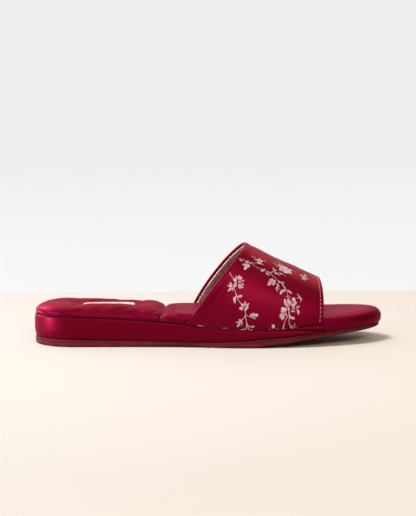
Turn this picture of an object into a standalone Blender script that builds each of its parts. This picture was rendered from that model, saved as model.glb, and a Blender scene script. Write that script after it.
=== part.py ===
import math

import bmesh
import bpy
import numpy as np

MM = 0.001

# Driving sizes
LENGTH = 250 * MM
HEEL_RADIUS = 30.5 * MM
BALL_HALF_WIDTH = {"lateral": 41 * MM, "medial": 44.5 * MM}
GAP = 0.3 * MM
WELD = 0.01 * MM

# Toe of the plan: where each side starts to round in, how full it is, and the tip's medial shift
TOE_TIP_SHIFT = 5 * MM
TOE_START = {"lateral": 165 * MM, "medial": 182 * MM}
TOE_FULLNESS = {"lateral": 1.1, "medial": 1.0}
TOE_FAN_STATION = 216 * MM
TOE_FAN_SAMPLES = 400

# Outsole
OUTSOLE_INSET = 0.9 * MM
OUTSOLE_EDGE_ROUND = 1.6 * MM
OUTSOLE_TOP_BREAK = 0.4 * MM
SOLE_HEEL_STEPS = 9
SOLE_TOE_STEPS = 12

# Wedge
WEDGE_END = 206 * MM
WEDGE_FOOT_INSET = 1.2 * MM
WEDGE_EDGE_BREAK = 0.7 * MM
WEDGE_INSET = 0.15 * MM
WEDGE_FULL_HEIGHT = 4 * MM
WEDGE_KNEE_SHARE = 0.25

# Footbed
FOOTBED_HEEL_STEPS = 12
FOOTBED_TOE_STEPS = 14
FOOTBED_LOWER_INSET = 1.0 * MM
FOOTBED_KNEE_INSET = 0.3 * MM
FOOTBED_BULGE_SHARE = 0.38
FOOTBED_ROUND_POWER = 2.2
CREASE_STATION = 92.5 * MM
CREASE_SLANT = 0.035
CREASE_HALF_WIDTH = 3.2 * MM
CREASE_DEPTH = 2.4 * MM
CREASE_EDGE_PINCH = 0.9 * MM
HOLLOW_STATION = 54 * MM
HOLLOW_HALF_LENGTH = 27 * MM
HOLLOW_HALF_WIDTH = 15 * MM
HOLLOW_LEVEL = 26.1 * MM
HOLLOW_FLAT_SHARE = 0.72
HOLLOW_RIM_SHARE = 1.15

# Label patch
PATCH_HALF_LENGTH = 18.5 * MM
PATCH_HALF_WIDTH = 9 * MM
PATCH_THICKNESS = 0.4 * MM
PATCH_GAP = 0.45 * MM
PATCH_CORNER_POWER = 3.2
PATCH_SIDES = 40

# Vamp
VAMP_WALL = 1.8 * MM
VAMP_EDGE_CLEARANCE = 0.3 * MM
MARGIN_DEPTH = 7 * MM
FOLD_RADIUS = 2.1 * MM
THROAT_BASE = {"lateral": 108 * MM, "medial": 110.5 * MM}
THROAT_BASE_HEIGHT = 16 * MM
THROAT_APEX = 151.3 * MM
THROAT_APEX_HEIGHT = 70.6 * MM
THROAT_BOW = {"lateral": 1.7 * MM, "medial": 2.3 * MM}
TOE_EDGE_BASE = 204.2 * MM
TOE_EDGE_TOP = 205.6 * MM
TOE_EDGE_TOP_HEIGHT = 45 * MM
TOE_EDGE_BOW = 0.4 * MM
RIDGE_SHIFT = 3 * MM
VAMP_SIDE_POWER = 2.35
VAMP_CROWN_POWER = 2.0
VAMP_ARCH_STEPS = 32
VAMP_ROWS = 16
FOLD_STEPS = 4
CUT_PASSES = 40
CUTTER_REACH = 5 * MM

# Half-widths of the sole between heel and toe, from the shoe's axis
PLAN_COLUMNS = ("station", "lateral", "medial")
PLAN_MM = (
    (30.5, 30.5, 30.5),
    (60, 31.0, 30.0),
    (90, 32.8, 29.8),
    (115, 35.8, 32.2),
    (140, 39.6, 38.8),
    (158, 40.9, 43.0),
    (165, 41.0, 44.0),
    (182, 41.0, 44.5),
)

# Heights of the layers above the floor along the shoe
PROFILE_COLUMNS = ("station", "underside", "outsole", "wedge", "footbed")
PROFILE_MM = (
    (0, 0.0, 4.7, 20.7, 29.0),
    (18, 0.0, 5.1, 20.8, 29.1),
    (40, 0.0, 4.7, 20.2, 28.0),
    (60, 0.0, 4.4, 19.4, 27.5),
    (80, 0.7, 4.1, 18.1, 27.0),
    (93, 1.0, 3.8, 17.1, 24.7),
    (105, 1.0, 3.6, 16.2, 24.0),
    (110, 0.9, 3.6, 15.0, 23.9),
    (120, 0.6, 3.6, 13.9, 23.4),
    (130, 0.0, 3.7, 13.0, 22.6),
    (152, 0.0, 5.0, 12.2, 21.2),
    (165, 1.3, 6.3, 12.2, 20.6),
    (177, 2.7, 7.3, 12.4, 20.4),
    (189, 4.4, 8.6, 12.1, 20.4),
    (198, 5.5, 9.5, 11.1, 20.5),
    (206, 6.5, 10.3, 11.0, 20.7),
    (226, 8.5, 12.1, 12.6, 22.2),
    (250, 10.1, 13.2, 13.7, 24.2),
)

# Padding of the footbed: how far its side stands in from the sole's edge, and how far in its top is level
PADDING_COLUMNS = ("station", "inset", "round")
PADDING_MM = (
    (0, 0.2, 14.0),
    (75, 0.3, 13.0),
    (99, 0.5, 7.5),
    (107, 2.8, 6.2),
    (112, 3.0, 6.0),
    (206, 3.0, 6.0),
    (209, 1.5, 6.3),
    (214, 0.3, 7.0),
    (250, 0.0, 9.0),
)

# Vamp: underside of its turned margin, and height of its ridge
VAMP_COLUMNS = ("station", "margin", "ridge")
VAMP_MM = (
    (100, 16.8, 84.5),
    (108, 16.2, 83.0),
    (120, 14.4, 80.0),
    (138, 13.0, 75.6),
    (151, 12.5, 70.6),
    (165, 12.6, 64.0),
    (180, 13.3, 56.7),
    (189, 14.6, 52.5),
    (206, 15.4, 44.8),
    (214, 15.5, 41.2),
)

COLOURS = {
    "outsole": ((0.13, 0.035, 0.035), 0.62),
    "wedge": ((0.16, 0.003, 0.014), 0.38),
    "footbed": ((0.25, 0.012, 0.030), 0.36),
    "vamp": ((0.19, 0.004, 0.022), 0.36),
    "label_patch": ((0.78, 0.72, 0.70), 0.70),
}


# Tables

def column_of(rows, columns, name):
    return np.array([row[columns.index(name)] for row in rows], float) * MM


# Cubic through the rows that never overshoots them
def smooth(at, places, values):
    widths = np.diff(places)
    slopes = np.diff(values) / widths
    tangents = np.zeros(len(values))
    before = slopes[:-1]
    after = slopes[1:]
    same_way = before * after > 0
    tangents[1:-1][same_way] = (2 * before * after)[same_way] / (before + after)[same_way]
    tangents[0] = slopes[0]
    tangents[-1] = slopes[-1]
    at = np.clip(at, places[0], places[-1])
    i = np.clip(np.searchsorted(places, at, side="right") - 1, 0, len(places) - 2)
    t = (at - places[i]) / widths[i]
    start = (1 + 2 * t) * (1 - t) ** 2 * values[i] + t * (1 - t) ** 2 * widths[i] * tangents[i]
    end = t**2 * (3 - 2 * t) * values[i + 1] + t**2 * (t - 1) * widths[i] * tangents[i + 1]
    return start + end


def plan(side, station):
    places = column_of(PLAN_MM, PLAN_COLUMNS, "station")
    return smooth(station, places, column_of(PLAN_MM, PLAN_COLUMNS, side))


def height(layer, station):
    places = column_of(PROFILE_MM, PROFILE_COLUMNS, "station")
    return smooth(station, places, column_of(PROFILE_MM, PROFILE_COLUMNS, layer))


def padding(name, station):
    places = column_of(PADDING_MM, PADDING_COLUMNS, "station")
    return smooth(station, places, column_of(PADDING_MM, PADDING_COLUMNS, name))


def vamp_height(name, station):
    places = column_of(VAMP_MM, VAMP_COLUMNS, "station")
    return smooth(station, places, column_of(VAMP_MM, VAMP_COLUMNS, name))


# Plan of the sole

SIDE_SIGN = {"lateral": -1, "medial": 1}


# Distance from the shoe's axis to the sole's edge
def half_width(side, station):
    station = np.asarray(station, float)
    heel = np.sqrt(np.clip(HEEL_RADIUS**2 - (HEEL_RADIUS - station) ** 2, 0, None))
    shift = SIDE_SIGN[side] * TOE_TIP_SHIFT
    reach = np.clip((station - TOE_START[side]) / (LENGTH - TOE_START[side]), 0, 1)
    span = BALL_HALF_WIDTH[side] - shift
    toe = shift + span * (1 - reach**2) ** (TOE_FULLNESS[side] / 2)
    middle = plan(side, station)
    return np.where(station < HEEL_RADIUS, heel, np.where(station > TOE_START[side], toe, middle))


def middle_line(station):
    return (half_width("medial", station) - half_width("lateral", station)) / 2


# Edge points of a toe fan, evenly spaced in angle from its lateral to its medial end
def toe_fan(steps):
    centre = middle_line(TOE_FAN_STATION)
    share = np.linspace(0, 1, TOE_FAN_SAMPLES)
    along = TOE_FAN_STATION + (LENGTH - TOE_FAN_STATION) * np.sin(share * math.pi / 2)
    lateral = np.column_stack([along, -half_width("lateral", along)])
    medial = np.column_stack([along, half_width("medial", along)])[::-1]
    edge = np.vstack([lateral, medial])
    angles = np.arctan2(edge[:, 1] - centre, edge[:, 0] - TOE_FAN_STATION)
    wanted = np.linspace(angles[0], angles[-1], steps + 1)[1:-1]
    return np.column_stack([np.interp(wanted, angles, edge[:, i]) for i in range(2)])


# Ring of edge points from the heel's back along the lateral side to the toe and back, with its spine points
def edge_ring(stations, heel_steps, toe_steps):
    turn = np.linspace(0, math.pi / 2, heel_steps + 1)[:-1]
    heel = np.column_stack([HEEL_RADIUS * (1 - np.cos(turn)), -HEEL_RADIUS * np.sin(turn)])
    heel_back = (heel * (1, -1))[:0:-1]
    lateral = np.column_stack([stations, -half_width("lateral", stations)])
    medial = np.column_stack([stations, half_width("medial", stations)])[::-1]
    toe = toe_fan(toe_steps) if toe_steps else np.empty((0, 2))
    ring = np.vstack([heel, lateral, toe, medial, heel_back])
    spine_station = np.clip(ring[:, 0], stations[0], stations[-1])
    spine = np.column_stack([spine_station, middle_line(spine_station)])
    return ring, spine


# Ring moved inwards by a distance of its own at each point
def inset_ring(ring, distance):
    along = np.roll(ring, -1, axis=0) - np.roll(ring, 1, axis=0)
    along /= np.linalg.norm(along, axis=1)[:, None]
    inward = np.column_stack([-along[:, 1], along[:, 0]])
    return ring + inward * np.broadcast_to(distance, len(ring))[:, None]


# Meshes

def material(name):
    colour, roughness = COLOURS[name]
    made = bpy.data.materials.new(name)
    made.use_nodes = True
    shader = made.node_tree.nodes["Principled BSDF"]
    shader.inputs["Base Color"].default_value = (*colour, 1)
    shader.inputs["Roughness"].default_value = roughness
    shader.inputs["Metallic"].default_value = 0
    return made


# Station 0 is the heel's back; the frame's origin is under the middle of the shoe's box
def to_frame(points):
    axis_shift = (BALL_HALF_WIDTH["medial"] - BALL_HALF_WIDTH["lateral"]) / 2
    return points - np.array([LENGTH / 2, axis_shift, 0])


def object_of(name, mesh_edit):
    mesh = bpy.data.meshes.new(name)
    bmesh.ops.remove_doubles(mesh_edit, verts=mesh_edit.verts, dist=WELD)
    bmesh.ops.recalc_face_normals(mesh_edit, faces=mesh_edit.faces)
    mesh_edit.to_mesh(mesh)
    mesh_edit.free()
    made = bpy.data.objects.new(name, mesh)
    bpy.context.scene.collection.objects.link(made)
    mesh.shade_smooth()
    return made


# Closed solid skinned over rings; the first and last ring lie on a spine and close on themselves
def ring_solid(name, rings):
    edit = bmesh.new()
    loops = [[edit.verts.new(point) for point in to_frame(ring)] for ring in rings]
    count = len(loops[0])
    for lower, upper in zip(loops[:-1], loops[1:]):
        for i in range(count):
            j = (i + 1) % count
            edit.faces.new((lower[i], lower[j], upper[j], upper[i]))
    return object_of(name, edit)


# Open sheet skinned over a grid of points
def sheet(name, grid):
    edit = bmesh.new()
    rows = [[edit.verts.new(point) for point in to_frame(row)] for row in grid]
    for first, second in zip(rows[:-1], rows[1:]):
        for i in range(len(first) - 1):
            edit.faces.new((first[i], first[i + 1], second[i + 1], second[i]))
    return object_of(name, edit)


def at_height(ring, level):
    return np.column_stack([ring, np.broadcast_to(level, len(ring))])


# Outsole

OUTSOLE_STATIONS = np.array(
    (30.5, 44, 60, 70, 80, 93, 105, 120, 130, 141, 152, 158, 165, 171, 177, 183, 189, 198, 206, 216)
) * MM


def make_outsole():
    ring, spine = edge_ring(OUTSOLE_STATIONS, SOLE_HEEL_STEPS, SOLE_TOE_STEPS)
    side = inset_ring(ring, OUTSOLE_INSET)
    station = ring[:, 0]
    under = height("underside", station)
    top = height("outsole", station)
    foot = inset_ring(ring, OUTSOLE_INSET + OUTSOLE_EDGE_ROUND)
    knee = inset_ring(ring, OUTSOLE_INSET + OUTSOLE_EDGE_ROUND * (1 - math.sin(math.pi / 4)))
    lip = inset_ring(ring, OUTSOLE_INSET + OUTSOLE_TOP_BREAK)
    rings = [
        at_height(spine, height("underside", spine[:, 0])),
        at_height(foot, under),
        at_height(knee, under + OUTSOLE_EDGE_ROUND * (1 - math.cos(math.pi / 4))),
        at_height(side, under + OUTSOLE_EDGE_ROUND),
        at_height(side, top - OUTSOLE_TOP_BREAK),
        at_height(lip, top),
        at_height(spine, height("outsole", spine[:, 0])),
    ]
    return ring_solid("outsole", rings)


# Wedge

WEDGE_STATIONS = np.array(
    (30.5, 44, 60, 80, 93, 105, 110, 120, 130, 141, 152, 165, 177, 189, 198, 206)
) * MM


def make_wedge():
    ring, spine = edge_ring(WEDGE_STATIONS, SOLE_HEEL_STEPS, 0)
    station = ring[:, 0]
    foot_level = height("outsole", station) + GAP
    top = height("wedge", station)
    tall = np.minimum(1, (top - foot_level) / WEDGE_FULL_HEIGHT)
    side = inset_ring(ring, WEDGE_INSET)
    foot = inset_ring(ring, WEDGE_INSET + WEDGE_FOOT_INSET * tall)
    rim = inset_ring(ring, WEDGE_INSET + WEDGE_EDGE_BREAK * tall)
    # Inset rings keep the straight cut at the front end
    for made in (side, foot, rim):
        made[:, 0] = np.minimum(made[:, 0], WEDGE_END)
    thick = top - foot_level
    rings = [
        at_height(spine, height("outsole", spine[:, 0]) + GAP),
        at_height(foot, foot_level),
        at_height((foot + side) / 2, foot_level + WEDGE_KNEE_SHARE * thick),
        at_height(side, top - np.minimum(WEDGE_EDGE_BREAK * tall, 0.5 * thick)),
        at_height(rim, top),
        at_height(spine, height("wedge", spine[:, 0])),
    ]
    return ring_solid("wedge", rings)


# Footbed

FOOTBED_STATIONS = np.array(
    (30.5, 36, 42, 48, 54, 60, 66, 72, 77, 82, 86, 89, 91, 92.5, 94, 96, 99, 102.5, 106, 112, 120,
     130, 141, 152, 165, 177, 189, 198, 203, 206, 207.5, 209, 211, 213.5, 216)
) * MM
FOOTBED_ROUND_SHARES = (0.0, 0.12, 0.3, 0.55, 1.0)
FOOTBED_TOP_SHARES = (0.25, 0.5, 0.75, 1.0)


def footbed_floor(station):
    level = np.where(station > WEDGE_END, height("outsole", station), height("wedge", station))
    return level + GAP


def crease(station, across):
    away = (station - CREASE_STATION - CREASE_SLANT * across) / CREASE_HALF_WIDTH
    return np.exp(-(away**2))


# Height of the footbed's top away from its rounded edge
def footbed_level(station, across):
    level = height("footbed", station)
    share = np.hypot((station - HOLLOW_STATION) / HOLLOW_HALF_LENGTH, across / HOLLOW_HALF_WIDTH)
    blend = np.clip((HOLLOW_RIM_SHARE - share) / (HOLLOW_RIM_SHARE - HOLLOW_FLAT_SHARE), 0, 1)
    blend = blend**2 * (3 - 2 * blend)
    level = level + (HOLLOW_LEVEL - level) * blend
    return level - CREASE_DEPTH * crease(station, across)


def make_footbed():
    ring, spine = edge_ring(FOOTBED_STATIONS, FOOTBED_HEEL_STEPS, FOOTBED_TOE_STEPS)
    station, across = ring.T
    side_inset = padding("inset", station) + CREASE_EDGE_PINCH * crease(station, across)
    rounding = padding("round", station)
    floor = footbed_floor(station)
    bulge = floor + FOOTBED_BULGE_SHARE * (height("footbed", station) - floor)
    lower = inset_ring(ring, side_inset + FOOTBED_LOWER_INSET)
    side = inset_ring(ring, side_inset)
    rings = [
        at_height(spine, footbed_floor(spine[:, 0])),
        at_height(lower, floor),
        at_height(inset_ring(ring, side_inset + FOOTBED_KNEE_INSET), (floor + bulge) / 2),
    ]
    for share in FOOTBED_ROUND_SHARES:
        here = inset_ring(ring, side_inset + share * rounding)
        rise = (1 - (1 - share) ** FOOTBED_ROUND_POWER) ** (1 / FOOTBED_ROUND_POWER)
        rings.append(at_height(here, bulge + rise * (footbed_level(*here.T) - bulge)))
    crest = inset_ring(side, rounding)
    for share in FOOTBED_TOP_SHARES:
        here = crest + share * (spine - crest)
        rings.append(at_height(here, footbed_level(*here.T)))
    return ring_solid("footbed", rings)


# Vamp

# Turned margin and fold of one side, from the margin's inner end outwards
def vamp_margin(side, station):
    base = half_width(side, station) - VAMP_EDGE_CLEARANCE
    level = vamp_height("margin", station)
    points = [(base - inward, level) for inward in (MARGIN_DEPTH, MARGIN_DEPTH / 2, FOLD_RADIUS)]
    for turn in np.linspace(0, math.pi / 2, FOLD_STEPS + 1)[1:-1]:
        reach = base - FOLD_RADIUS * (1 - math.sin(turn))
        points.append((reach, level + FOLD_RADIUS * (1 - math.cos(turn))))
    return [(SIDE_SIGN[side] * reach, level) for reach, level in points]


# Arch from the lateral to the medial fold
def vamp_arch(station):
    foot = vamp_height("margin", station) + FOLD_RADIUS
    rise = vamp_height("ridge", station) - foot
    points = []
    for turn in np.linspace(0, math.pi, VAMP_ARCH_STEPS + 1):
        side = "lateral" if turn < math.pi / 2 else "medial"
        sign = SIDE_SIGN[side]
        reach = half_width(side, station) - VAMP_EDGE_CLEARANCE - sign * RIDGE_SHIFT
        across = RIDGE_SHIFT + sign * reach * abs(math.cos(turn)) ** (2 / VAMP_SIDE_POWER)
        points.append((across, foot + rise * math.sin(turn) ** (2 / VAMP_CROWN_POWER)))
    return points


# Points of the vamp's outer section at one station, from the lateral to the medial margin
def vamp_section(station):
    lateral = vamp_margin("lateral", station)
    medial = vamp_margin("medial", station)[::-1]
    return np.array(lateral + vamp_arch(station) + medial)


def throat_station(across, level):
    side = "lateral" if across < RIDGE_SHIFT else "medial"
    base = THROAT_BASE[side]
    share = (level - THROAT_BASE_HEIGHT) / (THROAT_APEX_HEIGHT - THROAT_BASE_HEIGHT)
    return base + (THROAT_APEX - base) * share - 4 * THROAT_BOW[side] * share * (1 - share)


def toe_edge_station(across, level):
    share = (level - THROAT_BASE_HEIGHT) / (TOE_EDGE_TOP_HEIGHT - THROAT_BASE_HEIGHT)
    return TOE_EDGE_BASE + (TOE_EDGE_TOP - TOE_EDGE_BASE) * share + 4 * TOE_EDGE_BOW * share * (1 - share)


# Station at which one column of the vamp's sections meets an edge cut
def cut_station(column, edge, start):
    station = start
    for _ in range(CUT_PASSES):
        across, level = vamp_section(station)[column]
        station = edge(across, level)
    return station


def vamp_grid():
    columns = len(vamp_section(THROAT_APEX))
    grid = []
    for column in range(columns):
        back = cut_station(column, throat_station, THROAT_APEX)
        front = cut_station(column, toe_edge_station, TOE_EDGE_BASE)
        stations = np.linspace(back, front, VAMP_ROWS)
        grid.append([(station, *vamp_section(station)[column]) for station in stations])
    return np.array(grid)


def make_vamp():
    vamp = sheet("vamp", vamp_grid())
    wall = vamp.modifiers.new("Wall", "SOLIDIFY")
    wall.thickness = VAMP_WALL
    wall.offset = -1
    wall.use_even_offset = True
    return vamp


# Slot in the footbed's side for the vamp's margin, a gap larger than it all round
def margin_cutter(side):
    sign = SIDE_SIGN[side]
    back = THROAT_BASE[side] - 2 * GAP
    front = TOE_EDGE_BASE + 2 * GAP
    between = FOOTBED_STATIONS[(FOOTBED_STATIONS > back) & (FOOTBED_STATIONS < front)]
    stations = np.concatenate([[back], between, [front]])
    edit = bmesh.new()
    loops = []
    for station in stations:
        edge = half_width(side, station)
        low = vamp_height("margin", station) - GAP
        high = low + VAMP_WALL + 2 * GAP
        inner = edge - VAMP_EDGE_CLEARANCE - MARGIN_DEPTH - GAP
        outer = edge + CUTTER_REACH
        corners = [(station, sign * reach, level) for reach, level in
                   ((inner, low), (outer, low), (outer, high), (inner, high))]
        loops.append([edit.verts.new(point) for point in to_frame(np.array(corners))])
    for first, second in zip(loops[:-1], loops[1:]):
        for i in range(4):
            j = (i + 1) % 4
            edit.faces.new((first[i], first[j], second[j], second[i]))
    edit.faces.new(loops[0])
    edit.faces.new(loops[-1])
    cutter = object_of(f"margin_cutter_{side}", edit)
    cutter.hide_render = True
    cutter.display_type = "WIRE"
    return cutter


def cut_slots(footbed):
    for side in SIDE_SIGN:
        slot = footbed.modifiers.new(f"Slot {side}", "BOOLEAN")
        slot.operation = "DIFFERENCE"
        slot.solver = "EXACT"
        slot.object = margin_cutter(side)


# Label patch

def make_label_patch():
    turn = np.linspace(0, 2 * math.pi, PATCH_SIDES, endpoint=False)
    power = 2 / PATCH_CORNER_POWER
    along = HOLLOW_STATION + PATCH_HALF_LENGTH * np.sign(np.cos(turn)) * np.abs(np.cos(turn)) ** power
    across = PATCH_HALF_WIDTH * np.sign(np.sin(turn)) * np.abs(np.sin(turn)) ** power
    level = np.full(PATCH_SIDES, HOLLOW_LEVEL + PATCH_GAP)
    edit = bmesh.new()
    outline = [edit.verts.new(point) for point in to_frame(np.column_stack([along, across, level]))]
    face = edit.faces.new(outline)
    raised = bmesh.ops.extrude_face_region(edit, geom=[face])
    lifted = [item for item in raised["geom"] if isinstance(item, bmesh.types.BMVert)]
    bmesh.ops.translate(edit, verts=lifted, vec=(0, 0, PATCH_THICKNESS))
    return object_of("label_patch", edit)


def main():
    for old in list(bpy.data.objects):
        bpy.data.objects.remove(old)
    footbed = make_footbed()
    cut_slots(footbed)
    for piece in (make_outsole(), make_wedge(), footbed, make_vamp(), make_label_patch()):
        piece.data.materials.append(material(piece.name))


main()
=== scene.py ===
import math

import bpy
import numpy as np
from mathutils import Matrix, Vector
from mathutils.bvhtree import BVHTree


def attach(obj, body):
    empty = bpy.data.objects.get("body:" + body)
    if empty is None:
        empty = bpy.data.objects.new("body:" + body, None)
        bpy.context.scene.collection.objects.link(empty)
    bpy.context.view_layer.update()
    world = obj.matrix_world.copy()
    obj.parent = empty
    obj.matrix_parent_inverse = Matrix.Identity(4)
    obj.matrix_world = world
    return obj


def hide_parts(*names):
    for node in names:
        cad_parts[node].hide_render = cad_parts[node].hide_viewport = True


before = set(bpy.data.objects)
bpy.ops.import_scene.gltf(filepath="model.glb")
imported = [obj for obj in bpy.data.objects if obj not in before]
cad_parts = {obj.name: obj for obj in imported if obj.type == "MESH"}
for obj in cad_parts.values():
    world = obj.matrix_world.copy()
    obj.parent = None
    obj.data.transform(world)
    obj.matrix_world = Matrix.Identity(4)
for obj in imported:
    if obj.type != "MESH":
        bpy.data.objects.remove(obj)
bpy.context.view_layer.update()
print("frame loaded")

# the shoe in millimetres: station runs from the heel's back to the toe, across from its axis to the medial side
shoe = {
    "length": 250.0, "heelRadius": 30.5, "axisShift": 1.75,
    "ball": {"lateral": 41.0, "medial": 44.5}, "toeTipShift": 5.0,
    "toeStart": {"lateral": 165.0, "medial": 182.0}, "toeFullness": {"lateral": 1.1, "medial": 1.0},
    "toeFan": 216.0, "fanPoints": 400, "heelDraw": 0.6, "drawnOver": (2, 28), "mergeGap": 0.000004,
}
sideSign = {"lateral": -1, "medial": 1}


def table(names, rows):
    return dict(zip(names.split(), np.array(rows, float).T))


planTable = table("station lateral medial", [
    (30.5, 30.5, 30.5), (60, 31.0, 30.0), (90, 32.8, 29.8), (115, 35.8, 32.2),
    (140, 39.6, 38.8), (158, 40.9, 43.0), (165, 41.0, 44.0), (182, 41.0, 44.5)])
profileTable = table("station underside outsole wedge footbed", [
    (0, 0.0, 4.7, 20.7, 29.0), (18, 0.0, 5.1, 20.8, 29.1), (40, 0.0, 4.7, 20.2, 28.0),
    (60, 0.0, 4.4, 19.4, 27.5), (80, 0.7, 4.1, 18.1, 27.0), (93, 1.0, 3.8, 17.1, 24.7),
    (105, 1.0, 3.6, 16.2, 24.0), (110, 0.9, 3.6, 15.0, 23.9), (120, 0.6, 3.6, 13.9, 23.4),
    (130, 0.0, 3.7, 13.0, 22.6), (152, 0.0, 5.0, 12.2, 21.2), (165, 1.3, 6.3, 12.2, 20.6),
    (177, 2.7, 7.3, 12.4, 20.4), (189, 4.4, 8.6, 12.1, 20.4), (198, 5.5, 9.5, 11.1, 20.5),
    (206, 6.5, 10.3, 11.0, 20.7), (226, 8.5, 12.1, 12.6, 22.2), (250, 10.1, 13.2, 13.7, 24.2)])


# cubic through a table's rows that never overshoots them
def smooth(at, places, values):
    widths = np.diff(places)
    slopes = np.diff(values) / widths
    before, after = slopes[:-1], slopes[1:]
    tangents = np.concatenate([slopes[:1], np.zeros(len(slopes) - 1), slopes[-1:]])
    sameWay = before * after > 0
    tangents[1:-1][sameWay] = (2 * before * after)[sameWay] / (before + after)[sameWay]
    at = np.clip(at, places[0], places[-1])
    i = np.clip(np.searchsorted(places, at, side="right") - 1, 0, len(places) - 2)
    t = (at - places[i]) / widths[i]
    start = (1 + 2 * t) * (1 - t) ** 2 * values[i] + t * (1 - t) ** 2 * widths[i] * tangents[i]
    end = t**2 * (3 - 2 * t) * values[i + 1] + t**2 * (t - 1) * widths[i] * tangents[i + 1]
    return start + end


def read(rows, name, station):
    return smooth(station, rows["station"], rows[name])


def ease(low, high, x):
    t = np.clip((x - low) / (high - low), 0, 1)
    return t * t * (3 - 2 * t)


def hump(x, middle, width):
    return np.exp(-((x - middle) / width) ** 2)


def unit(vectors):
    return vectors / np.linalg.norm(vectors, axis=-1, keepdims=True)


# length along a table of points, from zero at its first one
def runLength(points, axis=0):
    steps = np.linalg.norm(np.diff(points, axis=axis), axis=-1)
    return np.concatenate([0 * np.take(steps, [0], axis), np.cumsum(steps, axis=axis)], axis=axis)


def toFrame(points):
    return (np.asarray(points, float) - (shoe["length"] / 2, shoe["axisShift"], 0)) / 1000


def fromFrame(points):
    return np.asarray(points, float) * 1000 + (shoe["length"] / 2, shoe["axisShift"], 0)


def halfWidth(side, station):
    station = np.asarray(station, float)
    heel = np.sqrt(np.clip(shoe["heelRadius"]**2 - (shoe["heelRadius"] - station) ** 2, 0, None))
    shift = sideSign[side] * shoe["toeTipShift"]
    start = shoe["toeStart"][side]
    reach = np.clip((station - start) / (shoe["length"] - start), 0, 1)
    toe = shift + (shoe["ball"][side] - shift) * (1 - reach**2) ** (shoe["toeFullness"][side] / 2)
    middle = read(planTable, side, station)
    return np.where(station < shoe["heelRadius"], heel, np.where(station > start, toe, middle))


def middleLine(station):
    return (halfWidth("medial", station) - halfWidth("lateral", station)) / 2


# both edges of the plan over some stations, the lateral one forwards and the medial one back
def planEdges(stations):
    lateral = np.column_stack([stations, -halfWidth("lateral", stations)])
    return lateral, np.column_stack([stations, halfWidth("medial", stations)])[::-1]


# points of the toe's edge, evenly turned about the fan's centre
def toeFan(steps):
    centre = middleLine(shoe["toeFan"])
    share = np.linspace(0, 1, shoe["fanPoints"])
    along = shoe["toeFan"] + (shoe["length"] - shoe["toeFan"]) * np.sin(share * math.pi / 2)
    edge = np.vstack(planEdges(along))
    angles = np.arctan2(edge[:, 1] - centre, edge[:, 0] - shoe["toeFan"])
    wanted = np.linspace(angles[0], angles[-1], steps + 1)[1:-1]
    return np.column_stack([np.interp(wanted, angles, edge[:, i]) for i in range(2)])


# ring of edge points from the heel's back by the lateral side to the toe and back, with its spine
def edgeRing(stations, heelSteps, toeSteps):
    turn = np.linspace(0, math.pi / 2, heelSteps + 1)[:-1]
    radius = shoe["heelRadius"]
    heel = np.column_stack([radius * (1 - np.cos(turn)), -radius * np.sin(turn)])
    lateral, medial = planEdges(stations)
    toe = toeFan(toeSteps) if toeSteps else np.empty((0, 2))
    ring = np.vstack([heel, lateral, toe, medial, (heel * (1, -1))[:0:-1]])
    spineStation = np.clip(ring[:, 0], stations[0], stations[-1])
    return ring, np.column_stack([spineStation, middleLine(spineStation)])


def insetRing(ring, distance):
    along = unit(np.roll(ring, -1, axis=0) - np.roll(ring, 1, axis=0))
    inward = np.column_stack([-along[:, 1], along[:, 0]])
    return ring + inward * np.broadcast_to(distance, len(ring))[:, None]


def atHeight(ring, level):
    return np.column_stack([ring, np.broadcast_to(level, len(ring))])


# outward direction at each point of a grid that is closed round its columns
def roundNormals(points):
    alongColumns = np.roll(points, -1, axis=1) - np.roll(points, 1, axis=1)
    normal = np.cross(alongColumns, np.gradient(points, axis=0))
    return normal / np.maximum(np.linalg.norm(normal, axis=-1, keepdims=True), 1e-9)


# a row of small gathers whose spacing wanders a little
def gathersAt(at, pitch, sway, swayLength):
    return np.sin(2 * math.pi * at / pitch + sway * np.sin(at / swayLength))


foldFade = {"ends": (0.06, 0.94), "power": 0.5}


# soft spots and folds: how strongly each point is touched, from 0 to 1
def spot(points, centre, radii):
    return np.exp(-(((points - np.array(centre)) / np.array(radii)) ** 2).sum(-1))


def fold(points, width, *places):
    places = np.array(places, float)
    lengths = np.linalg.norm(np.diff(places, axis=0), axis=1)
    nearest, along = np.full(points.shape[:-1], 1e9), np.zeros(points.shape[:-1])
    for i, line in enumerate(np.diff(places, axis=0)):
        share = np.clip(((points - places[i]) @ line) / (line @ line), 0, 1)
        away = np.linalg.norm(points - places[i] - share[..., None] * line, axis=-1)
        along = np.where(away < nearest, (lengths[:i].sum() + share * lengths[i]) / lengths.sum(), along)
        nearest = np.minimum(away, nearest)
    fades = np.sin(math.pi * np.clip(along, *foldFade["ends"])) ** foldFade["power"]
    return hump(nearest, 0, width) * fades


def moveSum(points, moves):
    total = np.zeros(points.shape[:-1])
    for kind, depth, *places in moves:
        total += depth * (spot(points, *places) if kind == "spot" else fold(points, *places))
    return total


# the covers and the sole draw in a little round the heel
def heelDraw(station):
    return shoe["heelDraw"] * (1 - ease(*shoe["drawnOver"], station))


def deselect():
    if bpy.context.mode != "OBJECT":
        bpy.ops.object.mode_set(mode="OBJECT")
    bpy.ops.object.select_all(action="DESELECT")


def finishMesh(merged, outwards):
    bpy.ops.object.mode_set(mode="EDIT")
    bpy.ops.mesh.select_all(action="SELECT")
    if merged:
        bpy.ops.mesh.remove_doubles(threshold=shoe["mergeGap"])
    if outwards:
        bpy.ops.mesh.normals_make_consistent(inside=False)
    bpy.ops.mesh.faces_shade_smooth()
    bpy.ops.object.mode_set(mode="OBJECT")


def cornersOf(mesh):
    corners = np.empty(len(mesh.loops), int)
    mesh.loops.foreach_get("vertex_index", corners)
    return corners


def placesOf(mesh):
    flat = np.empty(len(mesh.vertices) * 3)
    mesh.vertices.foreach_get("co", flat)
    return flat.reshape(-1, 3)


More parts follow.
